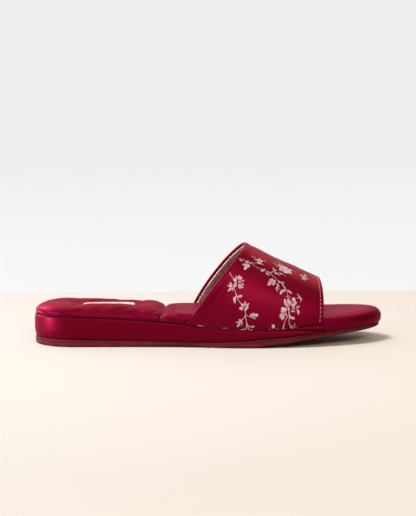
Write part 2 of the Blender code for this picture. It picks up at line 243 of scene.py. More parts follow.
# a grid primitive with its points moved to a table of places, and its own size as its UV map
def gridPiece(name, points, uv, closed, rowSlots=None):
    rows, columns = points.shape[:2]
    deselect()
    bpy.ops.mesh.primitive_grid_add(
        x_subdivisions=columns - 1, y_subdivisions=rows - 1, size=2, location=(0, 0, 0))
    piece = bpy.context.object
    piece.name = piece.data.name = name
    mesh = piece.data
    start = placesOf(mesh)
    column = np.rint((start[:, 0] + 1) / 2 * (columns - 1)).astype(int)
    row = np.rint((start[:, 1] + 1) / 2 * (rows - 1)).astype(int)
    mesh.vertices.foreach_set("co", toFrame(points[row, column]).ravel())
    corners = cornersOf(mesh)
    mesh.uv_layers[0].data.foreach_set("uv", (uv[row, column][corners] / 1000).ravel())
    if rowSlots is not None:
        firstRow = row[corners].reshape(-1, 4).min(axis=1)
        mesh.polygons.foreach_set("material_index", rowSlots[firstRow])
    finishMesh(True, closed)
    return piece


# closed piece skinned over rings, from the spine underneath to the spine on top
def ringPiece(name, rings):
    points = np.concatenate([rings, rings[:, :1]], axis=1)
    uv = np.stack(np.broadcast_arrays(runLength(points[len(rings) // 2]), runLength(points)), axis=-1)
    return gridPiece(name, points, uv, True)


def dress(piece, node, slotName, *materials):
    piece.data.materials.clear()
    for made in materials:
        piece.data.materials.append(made)
    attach(piece, "root")
    if node:
        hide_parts(node)


# shader nodes

def addNode(tree, kind, links, **settings):
    made = tree.nodes.new("ShaderNode" + kind)
    for name, value in settings.items():
        setattr(made, name, value)
    for socket, value in links.items():
        if isinstance(value, bpy.types.NodeSocket):
            tree.links.new(value, made.inputs[socket])
        else:
            made.inputs[socket].default_value = value
    return made


def newGroup(name, inputs, outputs):
    group = bpy.data.node_groups.new(name, "ShaderNodeTree")
    for label, value in inputs.items():
        kind = "NodeSocketColor" if isinstance(value, tuple) else "NodeSocketFloat"
        group.interface.new_socket(name=label, in_out="INPUT", socket_type=kind).default_value = value
    for label in outputs:
        kind = "NodeSocketColor" if label == "Colour" else "NodeSocketFloat"
        group.interface.new_socket(name=label, in_out="OUTPUT", socket_type=kind)
    return group, group.nodes.new("NodeGroupInput").outputs, group.nodes.new("NodeGroupOutput").inputs


def noiseOf(tree, vector, scale, detail=2.0, roughness=0.5):
    stretched = addNode(tree, "Mapping", {"Vector": vector, "Scale": scale}).outputs[0]
    return addNode(tree, "TexNoise", {"Vector": stretched, "Scale": 1.0, "Detail": detail,
                                      "Roughness": roughness}).outputs[0]


def spread(tree, value, low, high, fromLow=0.3, fromHigh=0.7):
    return addNode(tree, "MapRange", {0: value, 1: fromLow, 2: fromHigh, 3: low, 4: high}).outputs[0]


def mixColour(tree, share, first, second, blend="MIX"):
    return addNode(tree, "Mix", {0: share, 6: first, 7: second}, data_type="RGBA", blend_type=blend).outputs[2]


def calculate(tree, operation, first, second=0.0):
    return addNode(tree, "Math", {0: first, 1: second}, operation=operation).outputs[0]


def times(tree, first, second):
    return calculate(tree, "MULTIPLY", first, second)


def addUp(tree, first, *others):
    for other in others:
        first = calculate(tree, "ADD", first, other)
    return first


def waveOf(tree, turned):
    return calculate(tree, "ABSOLUTE", calculate(tree, "SINE", turned))


def placeOf(tree, kind="Object"):
    return addNode(tree, "TexCoord", {}).outputs[kind]


def axesOf(tree, vector):
    return addNode(tree, "SeparateXYZ", {0: vector}).outputs


# long satin floats that run along the shoe, with slubs, a fine grain and cloudy gloss
def satinGroup():
    group, given, out = newGroup("satinCloth", {
        "Cloth": (0.2, 0.01, 0.02, 1), "Deep": (0.1, 0.0, 0.01, 1), "Gloss": 0.4}, ("Colour", "Roughness", "Height"))
    place = placeOf(group)
    floats = noiseOf(group, place, (1500, 7000, 7000))
    slubs = noiseOf(group, place, (110, 1900, 1900), 3)
    clouds = noiseOf(group, place, (38, 38, 38), 3)
    grain = noiseOf(group, place, (520, 1100, 1100), 2)
    mottle = noiseOf(group, place, (260, 420, 420), 2)
    shade = addUp(group, spread(group, floats, 0.0, 0.22), spread(group, slubs, 0.0, 0.20),
                  spread(group, clouds, 0.0, 0.22), spread(group, grain, 0.0, 0.26))
    group.links.new(mixColour(group, shade, given["Cloth"], given["Deep"]), out["Colour"])
    gloss = addUp(group, given["Gloss"], spread(group, clouds, -0.045, 0.045), spread(group, slubs, -0.03, 0.03),
                  spread(group, grain, -0.035, 0.035))
    group.links.new(gloss, out["Roughness"])
    height = addUp(group, floats, times(group, slubs, 0.6), times(group, mottle, 2.0))
    group.links.new(height, out["Height"])
    return group


# plain weave of crossing yarns, in the cloth's own UV
def plainWeaveGroup():
    group, given, out = newGroup("plainWeave", {
        "Cloth": (0.5, 0.4, 0.4, 1), "Gap": (0.3, 0.2, 0.2, 1), "Yarns": 1500.0}, ("Colour", "Height"))
    place = placeOf(group, "UV")
    axes = axesOf(group, place)
    yarns = times(group, *[waveOf(group, times(group, axes[i], given["Yarns"])) for i in range(2)])
    fuzz = noiseOf(group, place, (420, 420, 1), 3)
    shade = addUp(group, spread(group, yarns, 0.55, 0.0, 0.0, 0.7), spread(group, fuzz, 0.0, 0.4))
    group.links.new(mixColour(group, shade, given["Cloth"], given["Gap"]), out["Colour"])
    group.links.new(addUp(group, yarns, times(group, fuzz, 0.5)), out["Height"])
    return group


# threads laid side by side across a stroke, in its own UV
def laidThreadGroup():
    group, given, out = newGroup("laidThreads", {
        "Thread": (0.7, 0.5, 0.5, 1), "Between": (0.4, 0.2, 0.2, 1), "Count": 2400.0, "Vein": 0.0},
        ("Colour", "Height"))
    place = placeOf(group, "UV")
    axes = axesOf(group, place)
    wander = noiseOf(group, place, (500, 500, 1))
    ribs = waveOf(group, addUp(group, times(group, axes[0], given["Count"]), times(group, wander, 5.0)))
    patches = noiseOf(group, placeOf(group), (600, 600, 600), 2)
    middle = spread(group, calculate(group, "ABSOLUTE", axes[1]), 1.0, 0.0, 0.00008, 0.00020)
    shade = addUp(group, spread(group, ribs, 0.45, 0.0, 0.0, 0.6), spread(group, patches, -0.1, 0.6),
                  times(group, middle, given["Vein"]))
    group.links.new(mixColour(group, shade, given["Thread"], given["Between"]), out["Colour"])
    group.links.new(ribs, out["Height"])
    return group


def newMaterial(name, **sockets):
    made = bpy.data.materials.new(name)
    made.use_nodes = True
    shader = made.node_tree.nodes["Principled BSDF"]
    for socket, value in sockets.items():
        shader.inputs[socket.replace("_", " ")].default_value = value
    return made, made.node_tree, shader.inputs


def addBump(tree, sockets, height, distance, strength=0.6):
    bump = addNode(tree, "Bump", {"Strength": strength, "Distance": distance, "Height": height})
    tree.links.new(bump.outputs[0], sockets["Normal"])


# a material whose colour, height and perhaps roughness come from a cloth group with its own values
def clothMaterial(name, group, values, depth, strength=0.6, **sockets):
    made, tree, inputs = newMaterial(name, **sockets)
    cloth = addNode(tree, "Group", {}, node_tree=group)
    for label, value in values.items():
        cloth.inputs[label].default_value = value
    tree.links.new(cloth.outputs["Colour"], inputs["Base Color"])
    if "Roughness" in cloth.outputs:
        tree.links.new(cloth.outputs["Roughness"], inputs["Roughness"])
    addBump(tree, inputs, cloth.outputs["Height"], depth, strength)
    return made


satinEffect = satinGroup()
weaveEffect = plainWeaveGroup()
threadEffect = laidThreadGroup()

satinLook = {
    "wedge": {"Cloth": (0.150, 0.0007, 0.0148, 1), "Deep": (0.100, 0.0002, 0.0072, 1), "Gloss": 0.46},
    "footbed": {"Cloth": (0.160, 0.0013, 0.0210, 1), "Deep": (0.105, 0.0004, 0.0105, 1), "Gloss": 0.48},
    "vamp": {"Cloth": (0.165, 0.0009, 0.0182, 1), "Deep": (0.108, 0.0003, 0.0086, 1), "Gloss": 0.46},
    "turnedEdge": {"Cloth": (0.160, 0.0010, 0.0155, 1), "Deep": (0.098, 0.0003, 0.0075, 1), "Gloss": 0.48},
}
sheenLook = {
    "wedge": {"weight": 0.09, "tint": (1.0, 0.60, 0.60, 1)},
    "footbed": {"weight": 0.06, "tint": (1.0, 0.35, 0.40, 1)},
    "vamp": {"weight": 0.14, "tint": (1.0, 0.78, 0.72, 1)},
    "turnedEdge": {"weight": 0.14, "tint": (1.0, 0.78, 0.76, 1)},
}


def satin(name):
    return clothMaterial(
        name + "Satin", satinEffect, satinLook[name], 0.00007, 0.35,
        Metallic=0.72, Specular_IOR_Level=0.05, Specular_Tint=(1.0, 0.12, 0.42, 1),
        Coat_Weight=0.05, Coat_Roughness=0.32, Coat_IOR=1.35,
        Sheen_Weight=sheenLook[name]["weight"], Sheen_Roughness=0.35, Sheen_Tint=sheenLook[name]["tint"])


def woven(name, cloth, gap, yarns, depth):
    return clothMaterial(name, weaveEffect, {"Cloth": cloth, "Gap": gap, "Yarns": yarns}, depth,
                         Roughness=0.78, Specular_IOR_Level=0.25, Sheen_Weight=0.2)


def thread(name, colour, between, count=5200.0, metallic=0.0, vein=0.0):
    return clothMaterial(name, threadEffect, {"Thread": colour, "Between": between, "Count": count, "Vein": vein},
                         0.00008, Roughness=0.46, Metallic=metallic, Sheen_Weight=0.12)


rubberLook = {
    "light": (0.110, 0.013, 0.018, 1), "dark": (0.070, 0.007, 0.010, 1), "worn": (0.17, 0.045, 0.045, 1),
    "bars": {"Scale": 130.0, "Mortar Size": 0.09, "Mortar Smooth": 0.4, "Brick Width": 1.1, "Row Height": 0.42},
}


def soleRubber():
    made, tree, sockets = newMaterial("soleRubber", Specular_IOR_Level=0.10, Specular_Tint=(1.0, 0.62, 0.55, 1))
    place = placeOf(tree)
    mottle = noiseOf(tree, place, (160, 160, 160), 4, 0.6)
    scuffs = noiseOf(tree, placeOf(tree, "UV"), (90, 900, 1), 4, 0.65)
    base = mixColour(tree, spread(tree, mottle, 0.0, 1.0), rubberLook["light"], rubberLook["dark"])
    worn = mixColour(tree, spread(tree, scuffs, 0.0, 0.4, 0.55, 0.75), base, rubberLook["worn"])
    tree.links.new(worn, sockets["Base Color"])
    tree.links.new(spread(tree, mottle, 0.66, 0.82), sockets["Roughness"])
    # fine tread: rows of short bars, in relief under the sole only
    up = axesOf(tree, addNode(tree, "NewGeometry", {}).outputs["Normal"])[2]
    under = spread(tree, up, 1.0, 0.0, -0.95, -0.8)
    bars = addNode(tree, "TexBrick", {"Vector": place, **rubberLook["bars"]}).outputs[1]
    tread = times(tree, calculate(tree, "SUBTRACT", 1.0, bars), under)
    addBump(tree, sockets, addUp(tree, times(tree, mottle, 0.25), tread), 0.0006, 0.5)
    return made


# camera and stage

view = {
    "elevation": 7.0, "azimuth": -2.3, "distance": 1.1, "target": (0.0, 0.0, 0.035),
    "focalPixels": 1526.0, "frameWidth": 416.0, "drop": 33.6, "sensor": 36, "clipStart": 0.01,
}


def makeCamera():
    e, a = math.radians(view["elevation"]), math.radians(view["azimuth"])
    out = Vector((math.sin(a) * math.cos(e), -math.cos(a) * math.cos(e), math.sin(e)))
    deselect()
    bpy.ops.object.camera_add(location=Vector(view["target"]) + out * view["distance"])
    camera = bpy.context.object
    camera.name = "photoCamera"
    camera.data.sensor_fit = "HORIZONTAL"
    camera.data.sensor_width = view["sensor"]
    camera.data.lens = view["focalPixels"] * view["sensor"] / view["frameWidth"]
    camera.data.clip_start = view["clipStart"]
    aim = (-out).to_track_quat("-Z", "Y")
    lift = math.atan(view["drop"] / view["focalPixels"])   # the shoe sits below the frame's middle
    camera.rotation_euler = (aim.to_matrix() @ Matrix.Rotation(lift, 3, "X")).to_euler()
    bpy.context.scene.camera = camera


stage = {
    "floorLevel": -0.0001, "reach": 9.0, "steps": 24, "riseFrom": 2.4, "rise": 0.9,
    # the floor's spans and colours below paint light and shade on the plain paper: painted light towards the back,
    # painted shade at the front and on the left
    "wallLine": 0.285, "lineBlur": 0.004, "paintedLightFrontToBack": (-0.40, 0.27), "paintedShadeLeftToRight": (-0.30, 0.20),
    "floorFrontPaintedShade": (0.575, 0.572, 0.535, 1), "floorBackPaintedLight": (0.82, 0.81, 0.78, 1),
    "paintedLeftShade": (0.85, 0.875, 0.875, 1), "fleck": (0.60, 0.56, 0.49, 1),
    "wall": (0.84, 0.845, 0.835, 1), "wallBase": (0.02, 0.02, 0.02, 1),
    "world": (1.0, 0.58, 0.28, 1), "worldStrength": 0.22,
}


def makeStage():
    deselect()
    bpy.ops.mesh.primitive_grid_add(
        x_subdivisions=stage["steps"], y_subdivisions=stage["steps"], size=stage["reach"], location=(0, 0, 0))
    floor = bpy.context.object
    floor.name = "paperFloor"
    for vertex in floor.data.vertices:   # flat round the shoe, rising softly far away behind
        away = max(0.0, vertex.co.y - stage["riseFrom"])
        vertex.co.z = stage["floorLevel"] + stage["rise"] * away**2
    bpy.ops.object.shade_smooth()
    made, tree, sockets = newMaterial("paperStage", Roughness=0.85, Specular_IOR_Level=0.15, Emission_Strength=1.0)
    place = placeOf(tree)
    side, depth = axesOf(tree, place)[:2]
    grain = noiseOf(tree, place, (300, 300, 300), 3)
    behind = spread(tree, depth, 0.0, 1.0, stage["wallLine"], stage["wallLine"] + stage["lineBlur"])
    # painted light and shade on the plain paper floor: lighter towards the back, darker at the front and darker
    # again on the left
    back = spread(tree, depth, 0.0, 1.0, *stage["paintedLightFrontToBack"])
    paintedShadeLeft = spread(tree, side, 1.0, 0.0, *stage["paintedShadeLeftToRight"])
    paper = mixColour(tree, back, stage["floorFrontPaintedShade"], stage["floorBackPaintedLight"])
    paper = mixColour(tree, paintedShadeLeft, paper, stage["paintedLeftShade"], "MULTIPLY")
    paper = mixColour(tree, spread(tree, grain, 0.0, 0.03), paper, stage["fleck"])
    # the backdrop shines evenly, so that it stays one tone however far it is from the lights
    tree.links.new(mixColour(tree, behind, paper, stage["wallBase"]), sockets["Base Color"])
    tree.links.new(mixColour(tree, behind, (0, 0, 0, 1), stage["wall"]), sockets["Emission Color"])
    floor.data.materials.append(made)


# some lamps only gloss the satin, and the key and the warm fill only light the paper and the cloth's own colour
lights = {
    "lowLeft": {"place": (-1.25, -0.22, 0.09), "aim": (-0.08, 0.0, 0.03), "size": (0.20, 0.16), "power": 17.0,
                "colour": (0.92, 0.93, 1.15), "use": "both"},
    "backLeft": {"place": (-0.95, 0.80, 0.62), "aim": (-0.05, 0.0, 0.03), "size": (0.6, 0.8), "power": 25.0,
                 "colour": (0.90, 0.86, 1.40), "use": "gloss"},
    "keyLeft": {"place": (-0.45, -0.45, 1.25), "aim": (0.0, 0.0, 0.02), "size": (0.5, 0.5), "power": 19.0,
                "colour": (0.98, 0.99, 0.99), "use": "colour"},
    "warmFill": {"place": (0.36, -1.75, 1.04), "aim": (0.05, 0.0, 0.03), "size": (1.4, 0.40), "power": 22.0,
                 "colour": (1.0, 0.75, 0.54), "use": "colour"},
    "overhead": {"place": (0.0, 0.85, 1.10), "aim": (0.0, 0.0, 0.0), "size": (1.9, 0.8), "power": 15.0,
                 "colour": (1.0, 0.985, 1.03), "use": "gloss"},
    "topSoft": {"place": (0.10, -0.40, 1.30), "aim": (0.05, 0.0, 0.02), "size": (2.2, 0.9), "power": 7.0,
                "colour": (1.0, 0.98, 1.02), "use": "gloss"},
    "frontFill": {"place": (0.36, -1.75, 1.04), "aim": (0.05, 0.0, 0.03), "size": (1.4, 0.40), "power": 29.0,
                  "colour": (0.98, 0.94, 1.03), "use": "gloss"},
}


def makeLights():
    for name, setting in lights.items():
        deselect()
        bpy.ops.object.light_add(type="AREA", location=setting["place"])
        lamp = bpy.context.object
        lamp.name = name
        lamp.data.shape = "RECTANGLE"
        lamp.data.size, lamp.data.size_y = setting["size"]
        lamp.data.energy = setting["power"]
        lamp.data.color = setting["colour"]
        lamp.visible_diffuse = setting["use"] != "gloss"
        lamp.visible_glossy = setting["use"] != "colour"
        lamp.rotation_euler = (Vector(setting["aim"]) - lamp.location).to_track_quat("-Z", "Y").to_euler()
    world = bpy.data.worlds.new("studio")
    world.use_nodes = True
    sky = world.node_tree.nodes["Background"].inputs
    sky["Color"].default_value = stage["world"]
    sky["Strength"].default_value = stage["worldStrength"]
    bpy.context.scene.world = world
    bpy.context.scene.view_settings.view_transform = "Standard"


makeCamera()
makeStage()
makeLights()
print("camera, floor and lights ready")


# outsole: rounded lower edge, one fine groove round its side

outsole = {
    "inset": 0.7, "edgeRound": 1.6, "topBreak": 0.4, "stations": np.linspace(30.5, 216, 76),
    "heelSteps": 30, "toeSteps": 44, "roundSteps": 6, "underShares": (0.0, 0.5, 0.85), "topShares": (0.0, 0.3, 1.0),
    "grooveShare": 0.55, "grooveDepth": 0.35, "grooveWidth": 0.45,
    "groove": ((-1.0, 0.0), (-0.5, 0.8), (0.0, 1.0), (0.5, 0.8), (1.0, 0.0)),
}


def makeOutsole():
    ring, spine = edgeRing(outsole["stations"], outsole["heelSteps"], outsole["toeSteps"])
    station = ring[:, 0]
    under = read(profileTable, "underside", station)
    inset, edgeRound = outsole["inset"] + heelDraw(station), outsole["edgeRound"]
    rings = []

    def flat(start, end, shares, face):
        for share in shares:
            here = start + share * (end - start)
            rings.append(atHeight(here, read(profileTable, face, here[:, 0])))

    flat(spine, insetRing(ring, inset + edgeRound), outsole["underShares"], "underside")
    for turn in np.linspace(0, math.pi / 2, outsole["roundSteps"]):
        here = insetRing(ring, inset + edgeRound * (1 - math.sin(turn)))
        rings.append(atHeight(here, under + edgeRound * (1 - math.cos(turn))))
    low = under + edgeRound
    high = read(profileTable, "outsole", station) - outsole["topBreak"]
    middle = low + outsole["grooveShare"] * (high - low)
    for step, sunk in outsole["groove"]:
        here = insetRing(ring, inset + sunk * outsole["grooveDepth"])
        rings.append(atHeight(here, middle + step * outsole["grooveWidth"]))
    rings.append(atHeight(insetRing(ring, inset), high))
    flat(insetRing(ring, inset + outsole["topBreak"]), spine, outsole["topShares"], "outsole")
    piece = ringPiece("outsole_rubber", np.array(rings))
    dress(piece, "outsole", "outsole", soleRubber())


# wedge: foam block in a satin cover, drawn in at its foot

wedge = {
    "end": 206.0, "inset": 0.15, "footInset": 1.2, "edgeBreak": 0.7, "fullHeight": 4.0, "gap": 0.3,
    "stations": np.linspace(30.5, 206, 100), "heelSteps": 40,
    "sideShares": (0.0, 0.06, 0.14, 0.25, 0.4, 0.55, 0.7, 0.85, 1.0), "edgeShares": (0.35, 0.7, 1.0),
    "drawnBelow": 0.4, "drawnPower": 1.6, "edgeLimit": 0.45, "rimInset": 2.2, "footShare": 0.8,
    "swell": 0.25, "swellRest": 0.4,
    "gathers": (7.3, 1.3, 11), "gatherDepth": 0.16, "gatherHeight": 3.0, "gatherFade": (30, 90),
}


def makeWedge():
    ring, spine = edgeRing(wedge["stations"], wedge["heelSteps"], 0)
    station = ring[:, 0]
    foot = read(profileTable, "outsole", station) + wedge["gap"]
    top = read(profileTable, "wedge", station)
    thick = top - foot
    tall = np.minimum(1, thick / wedge["fullHeight"])
    swell, rest = wedge["swell"], wedge["swell"] * wedge["swellRest"]

    def inward(distance):
        made = insetRing(ring, wedge["inset"] + heelDraw(station) + distance)
        made[:, 0] = np.minimum(made[:, 0], wedge["end"])
        return made

    rings = [atHeight(spine, read(profileTable, "outsole", spine[:, 0]) + wedge["gap"])]
    rings.append(atHeight(spine + wedge["footShare"] * (inward(wedge["footInset"]) - spine), foot))
    edge = np.minimum(wedge["edgeBreak"] * tall, wedge["edgeLimit"] * thick)
    for share in wedge["sideShares"]:
        drawn = wedge["footInset"] * tall * (1 - min(1, share / wedge["drawnBelow"])) ** wedge["drawnPower"]
        here = inward(drawn - swell * tall * math.sin(math.pi * share) + rest)
        rings.append(atHeight(here, foot + share * (thick - edge)))
    for share in wedge["edgeShares"]:
        bend = share * math.pi / 2
        here = inward(rest + edge * (1 - math.cos(bend)))
        rings.append(atHeight(here, top - edge * (1 - math.sin(bend))))
    rings.append(atHeight(inward(wedge["edgeBreak"] * wedge["rimInset"]), top))
    rings.append(atHeight(spine, read(profileTable, "wedge", spine[:, 0])))
    rings = np.array(rings)
    # soft gathers where the cover is turned under, stronger round the heel
    around = runLength(ring)
    low = hump(rings[..., 2], foot, wedge["gatherHeight"]) * (1 - ease(*wedge["gatherFade"], station)) * tall
    relief = wedge["gatherDepth"] * low * gathersAt(around, *wedge["gathers"])
    rings[2:-4] += (roundNormals(rings) * relief[..., None])[2:-4]
    piece = ringPiece("wedge_cover", rings)
    dress(piece, "wedge", "wedge_satin", satin("wedge"))


# footbed: padded satin with a sewn crease, a puffed heel pad and a tacked-down hollow

footbed = {
    "roundPower": 2.1, "gap": 0.3, "heelSteps": 44, "toeSteps": 56, "roundRings": 19, "topRings": 19,
    # rings of the lower side: share of its height, inset, and inset within the slot
    "side": ((0.0, 0.7, 1.4), (0.2, 0.42, 0.6), (0.4, 0.25, 0.55),
             (0.6, 0.14, 7.9), (0.75, 0.08, 7.9), (0.9, 0.03, 3.0)),
    "stepShare": 0.35,
    "crease": {"station": 93.4, "slant": 0.064, "pinch": 1.6, "pinchWidth": 2.4},
    "hollow": {"station": 54.0, "halfLength": 27.0, "halfWidth": 15.0, "level": 26.1, "flat": 0.72, "rim": 1.15},
    "puckers": (5.2, 0.8, 6.0), "puckerDepth": 0.07, "puckerFrom": 3.0, "puckerReach": 3.2, "puckerAbove": (16, 20),
    "slotFront": 204.3, "slotEase": 0.6, "slotLead": 0.3, "slotTop": 2.2, "slotRoof": 2.6,
    "shelfDrop": 0.2, "shelfLeast": 0.05, "vampRoom": 3.0, "hiddenRings": 8,
}
footbedStations = np.concatenate([np.arange(*run) for run in (
    (30.5, 84, 1.4), (84, 99, 0.55), (99, 104, 1.0), (104, 111.8, 0.45),
    (112, 203, 3.0), (203, 208, 0.4), (208, 216.5, 1.3))])
paddingTable = table("station inset round bulge", [
    (0, 0.9, 15.5, 0.20), (75, 0.7, 15.0, 0.20), (86, 0.7, 12.0, 0.22), (95, 0.6, 10.0, 0.24), (101, 0.6, 8.5, 0.28),
    (106, 0.6, 6.0, 0.40), (204, 0.5, 4.8, 0.46), (208, 0.3, 5.4, 0.42), (222, -0.2, 8.5, 0.34),
    (250, -0.9, 9.0, 0.34)])
# the sewn crease across the waist: steep and lit on its front side, round on the heel's side
creaseTable = table("station rise", [
    (-15, 0.0), (-10.5, 0.3), (-7, 0.55), (-3.6, 0.0), (-1.3, -1.1), (-0.5, -2.1), (0, -2.6), (0.5, -2.2),
    (1.1, -1.7), (2.2, -1.1), (4.2, -0.5), (7, -0.12), (12, 0.0), (18, 0.0)])
vampTable = table("station margin ridge", [
    (100, 16.8, 84.5), (108, 16.2, 83.0), (120, 14.4, 80.0), (138, 13.0, 75.6), (151, 12.5, 70.6),
    (165, 12.6, 64.0), (180, 13.3, 56.7), (189, 14.6, 52.5), (206, 15.4, 44.8), (214, 15.5, 41.2)])


def pastCrease(station, across):
    return station - footbed["crease"]["station"] - footbed["crease"]["slant"] * across


# how far out from the hollow's middle, with 1 at its edge
def hollowShare(station, across):
    hollow = footbed["hollow"]
    return np.hypot((station - hollow["station"]) / hollow["halfLength"], across / hollow["halfWidth"])


# height of the footbed's top away from its rounded edge
def padLevel(station, across):
    hollow = footbed["hollow"]
    level = read(profileTable, "footbed", station)
    sunk = ease(0, 1, (hollow["rim"] - hollowShare(station, across)) / (hollow["rim"] - hollow["flat"]))
    level = level + (hollow["level"] - level) * sunk
    return level + read(creaseTable, "rise", pastCrease(station, across))


# moves of the padded cover: the two tacks, dents, the puffed rim and the drag beside the vamp's rear corner
padMoves = (
    ("spot", -0.9, (32.0, 1.0, 27.0), (2.6, 2.6, 4)),
    ("spot", -0.9, (75.0, -0.5, 26.6), (2.6, 2.6, 4)),
    ("spot", -0.6, (35.4, -29.8, 23.6), (4.5, 5.0, 3.6)),
    ("spot", -0.6, (70.0, -31.1, 22.4), (6.0, 5.0, 3.4)),
    ("spot", -0.5, (48.0, 30.0, 23.6), (6.0, 5.0, 4.0)),
    ("spot", 0.6, (16.0, -15.0, 28.5), (12.0, 8.0, 6.0)),
    ("fold", 1.7, 7.0, (32.0, -17.0, 28.2), (54.0, -17.5, 28.0), (76.0, -17.0, 27.4)),
    ("fold", -0.9, 1.5, (1.0, -4.0, 25.0), (3.0, -10.0, 24.3), (6.0, -15.5, 23.5), (9.5, -20.3, 22.6),
     (13.5, -24.2, 21.5)),
    ("fold", 0.5, 1.5, (107.5, -33.0, 17.6), (97.0, -32.0, 22.6)),
    ("fold", -0.5, 1.5, (107.5, -33.0, 18.6), (99.5, -31.0, 23.6)),
    ("fold", 0.45, 1.4, (107.5, -31.0, 20.0), (102.5, -28.0, 24.2)),
    ("fold", -0.45, 1.3, (106.5, -33.2, 16.9), (95.5, -33.2, 19.4)),
    ("fold", 0.9, 6.5, (12.0, 12.0, 28.5), (24.0, 17.5, 28.5), (38.0, 19.0, 28.5), (56.0, 19.0, 28.0)),
    ("fold", -0.2, 3.0, (38.0, 11.0, 28.0), (29.0, 22.0, 28.0)),
    ("fold", -0.35, 3.0, (38.0, -11.0, 28.0), (29.0, -22.0, 28.0)),
    ("fold", -0.35, 3.0, (70.0, 11.0, 28.0), (80.0, 22.0, 27.0)),
    ("fold", -0.35, 3.0, (70.0, -11.0, 28.0), (80.0, -22.0, 27.0)),
)

# cloth simulation of the heel's cover: spare cloth blown up over the stuffing, held where it is sewn or tacked
stuffing = {
    "pressure": 4.0, "spareCloth": 0.012, "frames": 20, "cap": 0.45, "heldFrom": (98.0, 104.0),
    "heldLow": (1.6, 3.1), "heldCrease": (0.8, 2.0), "heldHollow": (0.86, 1.0), "heldTack": (1.6, 2.6), "tacks": 2,
    "cloth": {"quality": 4, "mass": 0.2, "tension_stiffness": 12, "compression_stiffness": 12, "shear_stiffness": 6,
              "bending_stiffness": 0.2, "use_pressure": True},
}


def puff(piece):
    mesh, scene = piece.data, bpy.context.scene
    before = placesOf(mesh)
    station, across, level = fromFrame(before).T
    low = level - read(profileTable, "wedge", station)
    free = [1 - ease(*stuffing["heldFrom"], station), ease(*stuffing["heldLow"], low),
            ease(*stuffing["heldCrease"], np.abs(pastCrease(station, across))),
            ease(*stuffing["heldHollow"], hollowShare(station, across))]
    for move in padMoves[:stuffing["tacks"]]:
        free.append(ease(*stuffing["heldTack"], np.hypot(station - move[2][0], across - move[2][1])))
    held = 1 - np.min(free, axis=0)
    group = piece.vertex_groups.new(name="sewnDown")
    for index in np.flatnonzero(held > 0.01):
        group.add([int(index)], float(held[index]), "REPLACE")
    cover = piece.modifiers.new("cover", "CLOTH")
    for name, value in stuffing["cloth"].items():
        setattr(cover.settings, name, value)
    cover.settings.shrink_min = -stuffing["spareCloth"]
    cover.settings.uniform_pressure_force = stuffing["pressure"]
    cover.settings.vertex_group_mass = group.name
    cover.settings.effector_weights.gravity = 0
    cover.point_cache.frame_end = stuffing["frames"]
    for here in range(1, stuffing["frames"] + 1):
        scene.frame_set(here)
    move = placesOf(piece.evaluated_get(bpy.context.evaluated_depsgraph_get()).data) - before
    piece.modifiers.remove(cover)
    piece.vertex_groups.clear()
    scene.frame_set(1)
    length = np.linalg.norm(move, axis=1, keepdims=True) + 1e-12
    cap = stuffing["cap"] / 1000
    mesh.vertices.foreach_set("co", (before + move / length * cap * np.tanh(length / cap)).ravel())
    mesh.update()
    most, mean = (round(float(value) * 1000, 3) for value in (length.max(), length.mean()))
    print("pad puffed by up to", most, "mm, mean", mean)


